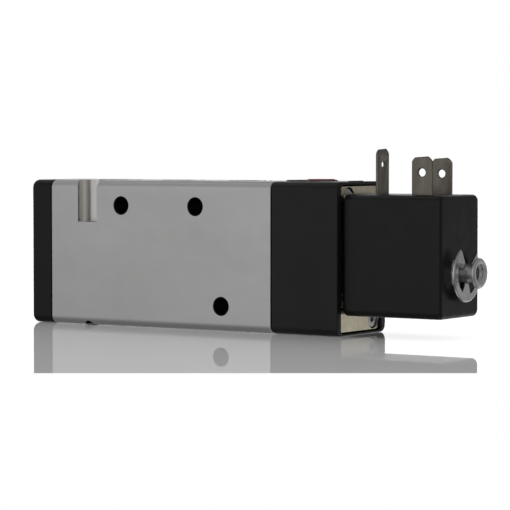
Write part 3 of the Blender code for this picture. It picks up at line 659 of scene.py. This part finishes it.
def thread(name, axis, centre, start, end, wall, crest, pitch, body, slot, sides=48):
    """Internal thread: a triangular ridge that winds along the wall of a bore."""
    shape = bmesh.new()
    count = int((end - start - pitch) / pitch * sides)
    run_in = sides / 4
    foot = wall + 0.08
    loops = []
    for i in range(count + 1):
        angle = 2 * math.pi * i / sides
        along = start + pitch * (0.5 + i / sides)
        fade = min(1.0, i / run_in, (count - i) / run_in)
        top = wall + (crest - wall) * max(fade, 0.05)
        loop = []
        for offset, radius in ((-0.46, foot), (-0.06, top), (0.06, top), (0.46, foot)):
            point = polar(centre, radius, angle)
            loop.append(shape.verts.new(place(axis, along + offset * pitch, *point)))
        loops.append(loop)
    skin(shape, loops)
    piece = settle(make(name, shape, MACHINED if slot == "anodised_aluminium" else FINISHES[slot]))
    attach(piece, body)
    return piece


def swept(name, points, radius, material, sides=12):
    """Round wire along points, with flat ends."""
    shape = bmesh.new()
    loops = []
    for i, point in enumerate(points):
        before, after = points[max(i - 1, 0)], points[min(i + 1, len(points) - 1)]
        heading = (after - before).normalized()
        side = heading.cross(Vector((1, 0, 0))).normalized()
        rise = heading.cross(side)
        spokes = [math.cos(angle) * side + math.sin(angle) * rise for angle in full_turn(sides)]
        loops.append([shape.verts.new(point + radius * spoke) for spoke in spokes])
    skin(shape, loops)
    return make(name, shape, material)


def helix(start, end, centre, radius, turns, closed, per_turn=32):
    """Points along a helix round X, with a closed turn of small pitch at each end."""
    points = []
    free = end - start - 2 * closed
    for i in range(int(turns * per_turn) + 1):
        turn = i / per_turn
        rise = closed * min(turn, 1) + closed * max(turn - turns + 1, 0)
        rise += free * min(max(turn - 1, 0), turns - 2) / (turns - 2)
        points.append(Vector((start + rise, *polar(centre, radius, 2 * math.pi * turn))))
    return points


# ---- pieces


def dress_body():
    """Valve body with its ports, bores and counterbored slots, and the threads in the ports."""
    body = eased("valve_body_block", "X", section, BODY.left, BODY.right, 0.2, finish_of("valve_body"))
    cut(body, drill("X", (0, SPOOL_Z), through(BODY.left, BODY.right, BORE_RADIUS, BORE_CHAMFER)))
    ports = [(index * PITCH, BODY.top, -1) for index in (-2, 0, 2)]
    ports += [(index * PITCH, BODY.bottom, 1) for index in (-1, 1)]
    for number, (x, face, inward) in enumerate(ports):
        floor = face + inward * PORT_DEPTH
        steps = mouth(face, -inward, PORT_RADIUS, PORT_CHAMFER)[::-1]
        steps += [
            (floor, PORT_RADIUS),
            (floor + inward * PASSAGE_CHAMFER, PASSAGE_RADIUS + PASSAGE_CHAMFER),
            (floor + inward * 2 * PASSAGE_CHAMFER, PASSAGE_RADIUS),
            (SPOOL_Z - inward * PASSAGE_END, PASSAGE_RADIUS),
        ]
        cut(body, drill("Z", (x, 0), steps))
        low, high = sorted((face + inward * 0.5, floor))
        crest = PORT_RADIUS - PORT_THREAD_HEIGHT
        thread(
            f"port_thread_{number + 1}", "Z", (x, 0), low, high, PORT_RADIUS, crest, PORT_THREAD_PITCH,
            "valve", "anodised_aluminium",
        )
    for x, z in SIDE_HOLES:
        steps = through(BODY.front, BODY.back, SIDE_HOLE_RADIUS, SIDE_HOLE_CHAMFER)
        # the side holes' walls get the near-black metal that paints the shade inside them
        cut(body, drill("Y", (x, z), steps, material=SHADED))
    for side, wall in ((-1, BODY.front), (1, BODY.back)):
        centre = (side * SLOT_X, wall - side * SLOT_INSET)
        steps = [(SLOT_FLOOR, SLOT_RADIUS), (BODY.top + PAST, SLOT_RADIUS)]
        cut(body, drill("Z", centre, steps, sides=96))
        steps = [(BODY.bottom - PAST, SLOT_SCREW_RADIUS), (SLOT_FLOOR + PAST, SLOT_SCREW_RADIUS)]
        # the narrow screw bore under each slot gets the painted shade too
        cut(body, drill("Z", centre, steps, material=SHADED))
    stand_for(body, "valve_body")


def dress_cap():
    """End cap with a softly rounded outer end, and its two screws."""
    edge = 0.15
    sections = [(CAP.right, section(edge)), (CAP.right - edge, section())]
    sections += rounded_end(section, CAP.left, -1, CAP_ROUNDING, 10)
    cap = lofted("end_cap_moulding", "X", sections, CAP_BLACK)
    well = [(CAP.left + CAP_FLOOR, SPRING_WELL_RADIUS), (CAP.right + PAST, SPRING_WELL_RADIUS)]
    cut(cap, drill("X", (0, SPOOL_Z), well))
    groove = ring_profile(CAP.right - GROOVE_DEPTH, CAP.right + PAST, *GROOVE)
    cut(cap, turned("groove", "X", (0, SPOOL_Z), groove))
    for node in ("end_cap_screw_upper", "end_cap_screw_lower"):
        screw = Box(node)
        floor = screw.left + BODY_SCREW["head_height"] + GAP
        steps = mouth(CAP.left, -1, BODY_SCREW_POCKET, 0.25)[::-1]
        steps += [(floor, BODY_SCREW_POCKET), (floor, BODY_SCREW_HOLE), (CAP.right + PAST, BODY_SCREW_HOLE)]
        cut(cap, drill("X", (0, screw.z), steps, material=CAP_BLACK))
        socket_screw(node, (0, screw.z), screw.left, screw.right, **BODY_SCREW)
    stand_for(cap, "end_cap")


def hexagon(centre, across_flats):
    """Outline of a hexagon socket."""
    return [polar(centre, across_flats / math.sqrt(3), angle) for angle in full_turn(6)]


def socket_screw(node, centre, head_face, tip, head_radius, head_height, shank_radius, socket):
    """Screw along X from its head's face to its tip, with a hexagon socket and a rolled thread."""
    direction = 1 if tip > head_face else -1
    seat = head_face + direction * head_height
    crest, root = shank_radius, shank_radius - 0.3
    head = [(head_face, 0), (head_face, head_radius), (seat, head_radius), (seat, root)]
    shank = [(seat, root)]
    for i in range(int(abs(tip - seat) / SCREW_PITCH) - 1):
        at = seat + direction * (0.4 + i * SCREW_PITCH)
        shank += [(at, root), (at + direction * SCREW_PITCH / 2, crest)]
    shank += [(tip - direction * 0.2, root), (tip, root - 0.2), (tip, 0)]
    profile = softened(head, 0.35)[:-4] + shank
    piece = turned(node + "_turned", "X", centre, profile, finish_of(node), 48)
    outside, floor = head_face - direction * PAST, head_face + direction * head_height * 0.55
    tool = prism("socket", "X", hexagon(centre, socket), outside, floor, finish_of(node))
    cone = [(outside, socket * 0.7), (head_face + direction * 0.25, socket * 0.5)]
    cut(piece, tool, drill("X", centre, cone, 48))
    return stand_for(piece, node)


def dress_housing():
    """Pilot housing with the pad and the catch by the override, and the base plate's recess."""
    black = finish_of("pilot_housing")
    housing = eased("pilot_housing_moulding", "X", section, HOUSING.left, HOUSING.right, 0.35, black)
    top, end = BODY.top, HOUSING.right
    pad = [(top - 2, pad_outline())] + rounded_end(pad_outline, top + PAD_HEIGHT, 1, 0.35)
    join(housing, lofted("pad", "Z", pad, black))
    catch_right = end - CATCH_INSET
    low = (catch_right - CATCH_WIDTH, CATCH_FRONT, top - 1)
    high = (catch_right, CATCH_BACK, top + CATCH_HEIGHT)
    join(housing, block("catch", low, high, black, 0.2))
    chamfer = 0.12
    recess, rim = plate_outline(-GAP), plate_outline(-GAP - chamfer)
    sections = [(RECESS_FLOOR, recess), (end - chamfer, recess), (end, rim), (end + PAST, rim)]
    cut(housing, lofted("recess", "X", sections, black))
    chamber = [(HOUSING.left - PAST, CHAMBER_RADIUS), (CHAMBER_END, CHAMBER_RADIUS)]
    cut(housing, drill("X", (0, SPOOL_Z), chamber))
    button = Box("manual_override")
    clearance = 0.25
    well = (button.right - button.left) / 2 + clearance
    steps = [(top - 8, well)] + mouth(top + 0.45, 1, well, clearance)
    cut(housing, drill("Z", (button.x, 0), steps, material=black))
    for node in ("housing_screw_upper", "housing_screw_lower"):
        screw = Box(node)
        centre = (screw.y, screw.z)
        socket_screw(node, centre, screw.right, screw.left, **BODY_SCREW)
        steps = [(HOUSING.left - PAST, BODY_SCREW_HOLE), (HOUSING_SCREW_SEAT, BODY_SCREW_HOLE)]
        steps += [(HOUSING_SCREW_SEAT, BODY_SCREW_POCKET), (RECESS_FLOOR + PAST, BODY_SCREW_POCKET)]
        cut(housing, drill("X", centre, steps))
    stand_for(housing, "pilot_housing")
    disc = Box("filter_disc")
    ring_node("filter_disc", (disc.y, disc.z), 0, FILTER_RADIUS)


def dress_override():
    """Red override button with its screwdriver slot, and its O-ring."""
    box = Box("manual_override")
    centre = (box.x, 0)
    radius = (box.right - box.left) / 2
    low, top = box.bottom, box.top
    pin, waist = 1.5, 2.5
    dish = top - 0.12
    profile = [
        (low, 0), (low, pin), (low + 1.2, pin), (low + 1.2, radius), (low + 2.4, radius),
        (low + 2.4, waist), (low + 4.2, waist), (low + 4.2, radius), (top, radius),
        (dish, radius - 0.9), (dish, 0),
    ]
    red = finish_of("manual_override")
    button = turned("manual_override_button", "Z", centre, softened(profile, 0.2), red)
    reach, half_width, half_mouth = 2.8, 0.5, 0.8
    slot_low, slot_high = (box.x - reach, -half_width, top - 1.2), (box.x + reach, half_width, top + PAST)
    slot = block("slot", slot_low, slot_high, red)
    flare_outline = [(-half_width, top - 0.45), (half_width, top - 0.45)]
    flare_outline += [(half_mouth, top + 0.1), (-half_mouth, top + 0.1)]
    flare = prism("flare", "X", flare_outline, box.x - reach - 0.05, box.x + reach + 0.05, red)
    cut(button, slot, flare)
    stand_for(button, "manual_override")
    turn_node("override_o_ring", "Z", centre, round_ring(Box("override_o_ring").z, 3.35, 0.5), 0)


def dress_base():
    """Base plate, its gasket, and the two screws in their counterbores."""
    beige = finish_of("pilot_base")
    plate = eased("pilot_base_plate", "X", plate_outline, PLATE.left, PLATE.right, 0.2, beige)
    seat = PLATE.left + FLANGE_SEAT
    steps = [(PLATE.left - PAST, FLANGE_HOLE), (seat, FLANGE_HOLE), (seat, TUBE_HOLE)]
    cut(plate, drill("X", (0, TUBE_Z), steps + mouth(PLATE.right, 1, TUBE_HOLE, 0.25)))
    sheet = Box("pilot_base_gasket")
    rubber = finish_of("pilot_base_gasket")
    gasket = prism("pilot_base_gasket_sheet", "X", plate_outline(), sheet.left, sheet.right, rubber)

    def punch(centre, radius):
        cut(gasket, drill("X", centre, [(sheet.left - PAST, radius), (sheet.right + PAST, radius)]))

    punch((0, TUBE_Z), FLANGE_HOLE)
    for node, centre in PLATE_SCREWS.items():
        screw = Box(node)
        floor = screw.right - 1.5
        steps = [(PLATE.left - PAST, PLATE_SCREW_HOLE), (floor, PLATE_SCREW_HOLE)]
        steps += [(floor, PLATE_SCREW_POCKET)] + mouth(PLATE.right, 1, PLATE_SCREW_POCKET, 0.1)
        cut(plate, drill("X", centre, steps))
        punch(centre, PLATE_SCREW_HOLE)
        socket_screw(node, centre, screw.right, screw.left, **PLATE_SCREW)
    stand_for(plate, "pilot_base")
    stand_for(gasket, "pilot_base_gasket")


def dress_core(centre):
    """Fixed core: a plug in the tube, then the neck and the flange with the threaded exhaust hole."""
    right, flange, rim = CORE.right, CORE.right - 1.0, CORE.radius
    edge, chamfer = 0.2, 0.4
    plug = TUBE_BORE - GAP
    profile = [
        (CORE.left, CORE_PASSAGE), (CORE.left, plug), (TUBE.right, plug),
        (TUBE.right, NECK_RADIUS), (flange - edge, NECK_RADIUS), (flange, NECK_RADIUS + edge),
        (flange, rim - edge), (flange + edge, rim), (right - chamfer, rim), (right, rim - 0.5),
        (right, EXHAUST_THREAD + chamfer), (right - chamfer, EXHAUST_THREAD), (flange, EXHAUST_THREAD),
        (flange - chamfer, EXHAUST_RADIUS), (COIL.right, EXHAUST_RADIUS), (COIL.right - 1, CORE_PASSAGE),
    ]
    turn_node("fixed_core", "X", centre, profile, 0.12)
    thread(
        "exhaust_thread", "X", centre, flange - 0.3, right - 0.25, EXHAUST_THREAD, EXHAUST_CREST,
        EXHAUST_PITCH, "valve", "turned_steel",
    )


def dress_solenoid():
    """Armature tube, core, plunger, their seals and the plunger spring."""
    centre = (0, TUBE_Z)
    steps = [(TUBE.left, TUBE_FLANGE), (TUBE.left + 1, TUBE_RADIUS)]
    profile = stepped(TUBE_BORE, steps, TUBE.right)
    # the tube takes the near-black steel that paints the shade in the clip's windows
    tube = turned("armature_tube_turned", "X", centre, softened(profile, 0.25), PAINTED_SHADE_TUBE_STEEL)
    stand_for(tube, "armature_tube")
    dress_core(centre)
    plunger = Box("plunger")
    seat_floor, seat_radius = plunger.left + SEAT_POCKET[0], SEAT_POCKET[1]
    exhaust_floor, exhaust_radius = plunger.right - EXHAUST_POCKET[0], EXHAUST_POCKET[1]
    profile = [
        (seat_floor, 0), (seat_floor, seat_radius), (plunger.left, seat_radius),
        (plunger.left, plunger.radius), (PLUNGER_SHOULDER, plunger.radius),
        (PLUNGER_SHOULDER, PLUNGER_SPIGOT), (plunger.right, PLUNGER_SPIGOT),
        (plunger.right, exhaust_radius), (exhaust_floor, exhaust_radius), (exhaust_floor, 0),
    ]
    turn_node("plunger", "X", centre, profile)
    for node in ("plunger_seat_seal", "plunger_exhaust_seal"):
        ring_node(node, centre, 0, Box(node).radius)
    turn_node("tube_o_ring", "X", centre, round_ring(Box("tube_o_ring").x, 5.8, 0.55), 0)
    ring_node("coil_seal_ring", centre, TUBE_HOLE, Box("coil_seal_ring").radius, 0.1)
    spring_node("plunger_spring", centre, 2.95, 0.28, 5)


def spring_node(node, centre, radius, wire, turns):
    """Round-wire compression spring in place of a CAD node, with a mesh of its own where a joint lists it
    among its deforming nodes.
    """
    box = Box(node)
    points = helix(box.left + wire, box.right - wire, centre, radius, turns, 2.1 * wire)
    spring = stand_for(swept(node + "_wire", points, wire, finish_of(node)), node, sharp=50)
    for joint in frame["record"]["behaviour"]["joints"]:
        for deforming in joint.get("deforming_nodes", []):
            if deforming["node"] != node:
                continue
            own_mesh(spring)


def dress_spool():
    """Spool, its seals, spacers and end rings, the piston and the return spring."""
    centre = (0, SPOOL_Z)
    for index in range(6):
        node = f"lip_seal_{index + 1}"
        seal = Box(node)
        lip, half_tip = SEAL_BORE + 0.5, 0.5
        profile = [
            (seal.left, lip), (seal.left, STACK_RADIUS), (seal.right, STACK_RADIUS),
            (seal.right, lip), (seal.x + half_tip, SEAL_BORE),
            (seal.x - half_tip, SEAL_BORE),
        ]
        turn_node(node, "X", centre, profile, 0.2)
    for index in range(5):
        node = f"seal_spacer_{index + 1}"
        box = Box(node)
        profile = softened(ring_profile(box.left, box.right, SEAL_BORE + 1.2, STACK_RADIUS), 0.2)
        spacer = turned(node + "_cage", "X", centre, profile, finish_of(node))
        for turn in range(2):
            angle = math.radians(90 * turn + 45)
            reach = Vector((0, math.cos(angle), math.sin(angle))) * (BORE_RADIUS + PAST)
            middle = Vector((box.x, 0, SPOOL_Z))
            tool = angled_drill(middle - reach, middle + reach, CAGE_HOLE_RADIUS)
            tool.data.materials[0] = finish_of(node)
            cut(spacer, tool)
        stand_for(spacer, node)
    for node in ("end_ring_left", "end_ring_right"):
        ring_node(node, centre, SEAL_BORE, STACK_RADIUS, 0.25)
    profile = [(SPOOL.left, 0), (SPOOL.left, LAND_RADIUS)]
    slope = 0.6
    for start, end in WAISTS:
        profile += [(start, LAND_RADIUS), (start + slope, WAIST_RADIUS)]
        profile += [(end - slope, WAIST_RADIUS), (end, LAND_RADIUS)]
    profile += [(SPOOL.right, LAND_RADIUS), (SPOOL.right, 0)]
    turn_node("spool", "X", centre, profile, 0.35)
    piston = Box("pilot_piston")
    rim = piston.radius
    groove_start, groove_end = (PISTON_FACE + offset for offset in PISTON_GROOVE)
    steps = [(piston.left, PISTON_ROD_RADIUS), (PISTON_FACE, rim)]
    steps += [(groove_start, rim - PISTON_GROOVE_DEPTH), (groove_end, rim)]
    profile = stepped(0, steps, PISTON_FACE + PISTON_LENGTH)
    turn_node("pilot_piston", "X", centre, profile, 0.25)
    ring_node("piston_seal", centre, rim - 1.4, rim + 0.1, 0.4)
    for node, radii in GASKETS.items():
        ring_node(node, centre, *radii, 0.35)
    spring_node("return_spring", centre, 3.6, 0.45, 7)


def dress_coil():
    """Moulded coil block, with its room for the winding and the holes round what passes through it."""
    black = finish_of("coil_housing")
    left_end = rounded_end(coil_outline, COIL.left, -1, COIL_LEFT_ROUNDING)
    right_end = rounded_end(coil_outline, COIL.right, 1, COIL_RIGHT_ROUNDING, 12)
    moulding = lofted("coil_moulding_block", "X", left_end[::-1] + right_end, black)
    room_right = COIL.right - COIL_END_WALL
    low = (COIL.left - PAST, COIL.front + COIL_WALL, COIL.bottom + COIL_WALL)
    high = (room_right, COIL.back - COIL_WALL, COIL_ROOM_TOP)
    cut(moulding, block("room", low, high, black))
    hole = [(room_right - PAST, TUBE_HOLE)] + mouth(COIL.right, 1, TUBE_HOLE, 0.3)
    cut(moulding, drill("X", (0, TUBE_Z), hole, material=black))
    clearance = 0.12
    for node in ("terminal_power_front", "terminal_power_rear", "terminal_ground"):
        blade = Box(node)
        low = (blade.left - clearance, blade.front - clearance, blade.bottom - 0.3)
        high = (blade.right + clearance, blade.back + clearance, COIL.top + PAST)
        cut(moulding, block("slot", low, high, black))
    insert_x = (Box("terminal_power_front").x + Box("terminal_ground").x) / 2
    steps = [(COIL.top - 6, INSERT_RADIUS)] + mouth(COIL.top, 1, INSERT_RADIUS, 0.3)
    cut(moulding, drill("Z", (insert_x, 0), steps))
    stand_for(moulding, "coil_housing")


def dress_yoke():
    """Steel yoke: a strip bent round the bobbin on three sides."""
    box = Box("yoke")
    left, right, bottom, top = box.left, box.right, box.bottom, box.top
    outline = [
        (left, bottom), (left + YOKE_PLATE, bottom), (left + YOKE_PLATE, top - YOKE_PLATE),
        (right - YOKE_PLATE, top - YOKE_PLATE), (right - YOKE_PLATE, bottom),
        (right, bottom), (right, top), (left, top),
    ]
    yoke = prism("yoke_frame", "Y", outline, box.front, box.back, finish_of("yoke"))
    cut(yoke, drill("X", (0, TUBE_Z), [(left - PAST, TUBE_HOLE), (right + PAST, TUBE_HOLE)]))
    stand_for(yoke, "yoke", bevel=0.2)


def dress_winding():
    """Bobbin, and the winding with its outer layer of turns."""
    bobbin = Box("bobbin")
    rim = bobbin.radius
    steps = [(bobbin.left, rim), (bobbin.left + BOBBIN_CHEEK, BOBBIN_HUB)]
    profile = stepped(TUBE_HOLE, [*steps, (bobbin.right - BOBBIN_CHEEK, rim)], bobbin.right)
    turn_node("bobbin", "X", (0, TUBE_Z), profile)
    winding = Box("winding")
    profile = [(winding.left, WINDING_BORE)]
    for turn in range(int((winding.right - winding.left) / (2 * WIRE_RADIUS))):
        for step in range(5):
            angle = math.pi * step / 4
            along = winding.left + WIRE_RADIUS * (2 * turn + 1 - math.cos(angle))
            profile.append((along, winding.radius - WIRE_RADIUS * (1 - math.sin(angle))))
    profile.append((profile[-1][0], WINDING_BORE))
    turn_node("winding", "X", (0, TUBE_Z), profile, 0)


def dress_blade(node, facing):
    """Stamped contact blade: rounded edges, sloped corners at the tip and a countersunk hole."""
    box = Box(node)
    low, high = (box.front, box.back) if facing == "Y" else (box.left, box.right)
    left, right = (box.left, box.right) if facing == "Y" else (box.front, box.back)
    across, down = BLADE_TIP

    def outline(inset):
        a, b, top = left + inset, right - inset, box.top - inset
        shoulder = top - down
        points = [(a, box.bottom), (b, box.bottom), (b, shoulder)]
        for start, end in (((b, shoulder), (b - across, top)), ((a + across, top), (a, shoulder))):
            for step in range(1, 4):
                t = step / 4
                bulge = BLADE_BULGE * math.sin(math.pi * t)
                x = start[0] + (end[0] - start[0]) * t
                z = start[1] + (end[1] - start[1]) * t
                points.append((x + (bulge if x > (a + b) / 2 else -bulge), z + bulge))
            points.append(end)
        return points

    blade = eased(node + "_blade", facing, outline, low, high, BLADE_ROUNDING, finish_of(node))
    centre = ((left + right) / 2, box.top - BLADE_HOLE_DROP)
    steps = through(low, high, BLADE_HOLE_RADIUS[facing], 0.2, BLADE_HOLE_RIM)
    cut(blade, drill(facing, centre, steps, 48, finish_of(node)))
    stand_for(blade, node, sharp=25)


def dress_clip():
    """Spring clip on the core's neck: a flat ring with three prongs and a rounded rim."""
    box = Box("retaining_clip")
    outer_centre, inner_centre = Vector((0, TUBE_Z - CLIP_DROP)), Vector((0, TUBE_Z))
    first, last = CLIP_OPENING + CLIP_HALF_OPENING, CLIP_OPENING + 360 - CLIP_HALF_OPENING
    middle = (first + last) / 2
    prong = 2 * CLIP_HALF_PRONG

    def arc(centre, radius, start, end, steps):
        angles = [math.radians(start + (end - start) * i / steps) for i in range(steps + 1)]
        return [centre + radius * Vector((math.cos(a), math.sin(a))) for a in angles]

    points = arc(outer_centre, CLIP_RADIUS + 0.5, first, last, 96)
    points += arc(inner_centre, CLIP_GRIP, last, last - prong, 12)
    points += arc(outer_centre, CLIP_WINDOW, last - prong - 3, middle + CLIP_HALF_PRONG + 6, 24)
    points += arc(inner_centre, CLIP_GRIP, middle + CLIP_HALF_PRONG, middle - CLIP_HALF_PRONG, 12)
    points += arc(outer_centre, CLIP_WINDOW, middle - CLIP_HALF_PRONG - 6, first + prong + 3, 24)
    points += arc(inner_centre, CLIP_GRIP, first + prong, first, 12)
    steel = finish_of("retaining_clip")
    rim = CLIP_RADIUS - 1.2
    profile = [
        (box.left + 0.2, 0), (box.left + 0.2, rim), (box.left, CLIP_RADIUS - 0.1),
        (box.left + 0.08, CLIP_RADIUS),
    ]
    for step in range(9):
        angle = math.radians(80 * step / 8)
        along = box.right - CLIP_CROWN * (1 - math.sin(angle))
        profile.append((along, CLIP_RADIUS - CLIP_CROWN * (1 - math.cos(angle))))
    profile += [(box.right, rim), (box.right, 0)]
    clip = turned("retaining_clip_spring", "X", tuple(outer_centre), profile, steel, 128)
    corners = [tuple(point) for point in points]
    outline = prism("clip_outline", "X", corners, box.left - PAST, box.right + PAST, steel)
    boolean(clip, "INTERSECT", [outline])
    stand_for(clip, "retaining_clip", sharp=14)


dress_body()
dress_cap()
dress_housing()
dress_override()
dress_base()
dress_solenoid()
dress_spool()
dress_coil()
dress_yoke()
dress_winding()
dress_blade("terminal_power_front", "Y")
dress_blade("terminal_power_rear", "Y")
dress_blade("terminal_ground", "X")
dress_clip()


# ---- camera, floor, light

HEADING = math.radians(33.29)
DIP = math.radians(2.6)
CAMERA_PLACE = Vector((0.3903, -0.5567, 0.0508))
LENS = 165.3
SHIFT = (-0.0006, 0.004)
SHEET_START = 0.534  # metres ahead of the camera
SHEET_END = 2.4
SHEET_HALF_WIDTH = 0.9
SHEET_DROP = 0.00005  # below the valve's bottom face
SHEET_ROUGHNESS = 0.02
SHEET_GLOSS = 0.86  # mirror strength of the sheet, over that of plain acrylic
SHEET_LIGHT = 1.55
WALL_LIGHT = 0.2  # radiance of the studio's walls, where the backdrop's is 1
UNDER_LIGHT = 0.8  # share of the light that is left below the floor line
SOFT_BOXES = (  # towards, degrees of the even core, degrees of the soft edge, radiance over the walls'
    ((-0.548, 0.835, 0.0), 26, 38, 0.8),
    ((-0.548, 0.835, 0.0), 8, 13, 0.5),
    ((0.26, -0.96, 0.12), 24, 40, 0.33),
    ((-0.62, -0.78, 0.06), 16, 42, 0.22),
    ((0.52, 0.80, -0.33), 10, 20, 0.4),
    ((0.0, 0.85, -0.50), 12, 28, 0.6),
    ((0.25, -0.10, -0.95), 10, 26, 0.6),
    ((-0.55, -0.03, 0.83), 6, 18, 0.35),
)


def make_camera():
    """Camera of the main view."""
    camera = linked("camera", bpy.data.cameras.new("camera"))
    camera.location = CAMERA_PLACE
    camera.rotation_euler = (math.pi / 2 - DIP, 0, HEADING)
    camera.data.sensor_width = 36
    camera.data.lens = LENS
    camera.data.shift_x, camera.data.shift_y = SHIFT
    camera.data.clip_start = 0.01
    bpy.context.scene.camera = camera


def ahead(distance, side=0.0):
    """Point on the floor at a distance ahead of the camera, in metres, and this far to its right."""
    forward = Vector((-math.sin(HEADING), math.cos(HEADING), 0))
    right = Vector((math.cos(HEADING), math.sin(HEADING), 0))
    return Vector((CAMERA_PLACE.x, CAMERA_PLACE.y, 0)) + forward * distance + right * side


def make_floor():
    """Glossy white sheet that ends a little in front of the valve, with a clear mirror image in it."""
    shape = bmesh.new()
    near = [ahead(SHEET_START, side) for side in (-SHEET_HALF_WIDTH, SHEET_HALF_WIDTH)]
    far = [ahead(SHEET_END, side) for side in (SHEET_HALF_WIDTH, -SHEET_HALF_WIDTH)]
    shape.faces.new([shape.verts.new(corner) for corner in near + far])
    mesh = bpy.data.meshes.new("floor")
    shape.to_mesh(mesh)
    shape.free()
    floor = linked("floor", mesh)
    floor.location.z = -SHEET_DROP
    floor.visible_diffuse = False
    floor.visible_glossy = False
    material = bpy.data.materials.new("white_sheet")
    material.use_nodes = True
    tree = material.node_tree
    tree.nodes.clear()
    paper = add_node(tree, "ShaderNodeBsdfDiffuse", {"Color": (0.85, 0.85, 0.85, 1)})
    gloss = add_node(tree, "ShaderNodeBsdfGlossy", {"Color": (1, 1, 1, 1), "Roughness": SHEET_ROUGHNESS})
    fresnel = add_node(tree, "ShaderNodeFresnel", {"IOR": 1.5})
    inputs = {0: fresnel.outputs[0], 1: SHEET_GLOSS}
    share = add_node(tree, "ShaderNodeMath", inputs, operation="MULTIPLY", use_clamp=True)
    inputs = {"Fac": share.outputs[0], 1: paper.outputs[0], 2: gloss.outputs[0]}
    mix = add_node(tree, "ShaderNodeMixShader", inputs)
    add_node(tree, "ShaderNodeOutputMaterial", {"Surface": mix.outputs[0]})
    mesh.materials.append(material)

    lit = bpy.data.collections.new("sheet_only")
    lit.objects.link(floor)
    sun = bpy.data.lights.new("sheet_light", "SUN")
    sun.energy = SHEET_LIGHT
    sun.angle = math.radians(150)
    lamp = linked("sheet_light", sun)
    lamp.light_linking.receiver_collection = lit


def make_world():
    """White studio: grey walls and soft boxes, a little darker below, and plain white to the eye."""
    world = bpy.data.worlds.new("studio")
    bpy.context.scene.world = world
    world.use_nodes = True
    tree = world.node_tree
    tree.nodes.clear()
    direction = tree.nodes.new("ShaderNodeTexCoord").outputs["Generated"]

    def ramp(value, low, high, start, end):
        inputs = {"Value": value, "From Min": low, "From Max": high, "To Min": start, "To Max": end}
        node = add_node(tree, "ShaderNodeMapRange", inputs, interpolation_type="SMOOTHSTEP")
        return node.outputs["Result"]

    def combine(operation, first, second):
        node = add_node(tree, "ShaderNodeMath", {0: first, 1: second}, operation=operation)
        return node.outputs["Value"]

    level = add_node(tree, "ShaderNodeSeparateXYZ", {0: direction}).outputs["Z"]
    strength = ramp(level, -0.3, 0.0, WALL_LIGHT * UNDER_LIGHT, WALL_LIGHT)
    for towards, core, edge, radiance in SOFT_BOXES:
        inputs = {0: direction, 1: Vector(towards).normalized()}
        facing = add_node(tree, "ShaderNodeVectorMath", inputs, operation="DOT_PRODUCT")
        outside, inside = math.cos(math.radians(edge)), math.cos(math.radians(core))
        glow = ramp(facing.outputs["Value"], outside, inside, 0, radiance)
        strength = combine("ADD", strength, glow)
    strength = combine("MULTIPLY", strength, ramp(level, -0.25, 0.0, UNDER_LIGHT, 1.0))
    studio = add_node(tree, "ShaderNodeBackground", {"Color": (1, 1, 1, 1), "Strength": strength})
    white = add_node(tree, "ShaderNodeBackground", {"Color": (1, 1, 1, 1)})
    path = tree.nodes.new("ShaderNodeLightPath")
    inputs = {"Fac": path.outputs["Is Camera Ray"], 1: studio.outputs[0], 2: white.outputs[0]}
    mix = add_node(tree, "ShaderNodeMixShader", inputs)
    add_node(tree, "ShaderNodeOutputWorld", {"Surface": mix.outputs[0]})


make_camera()
make_floor()
make_world()
bpy.context.scene.view_settings.view_transform = "Standard"
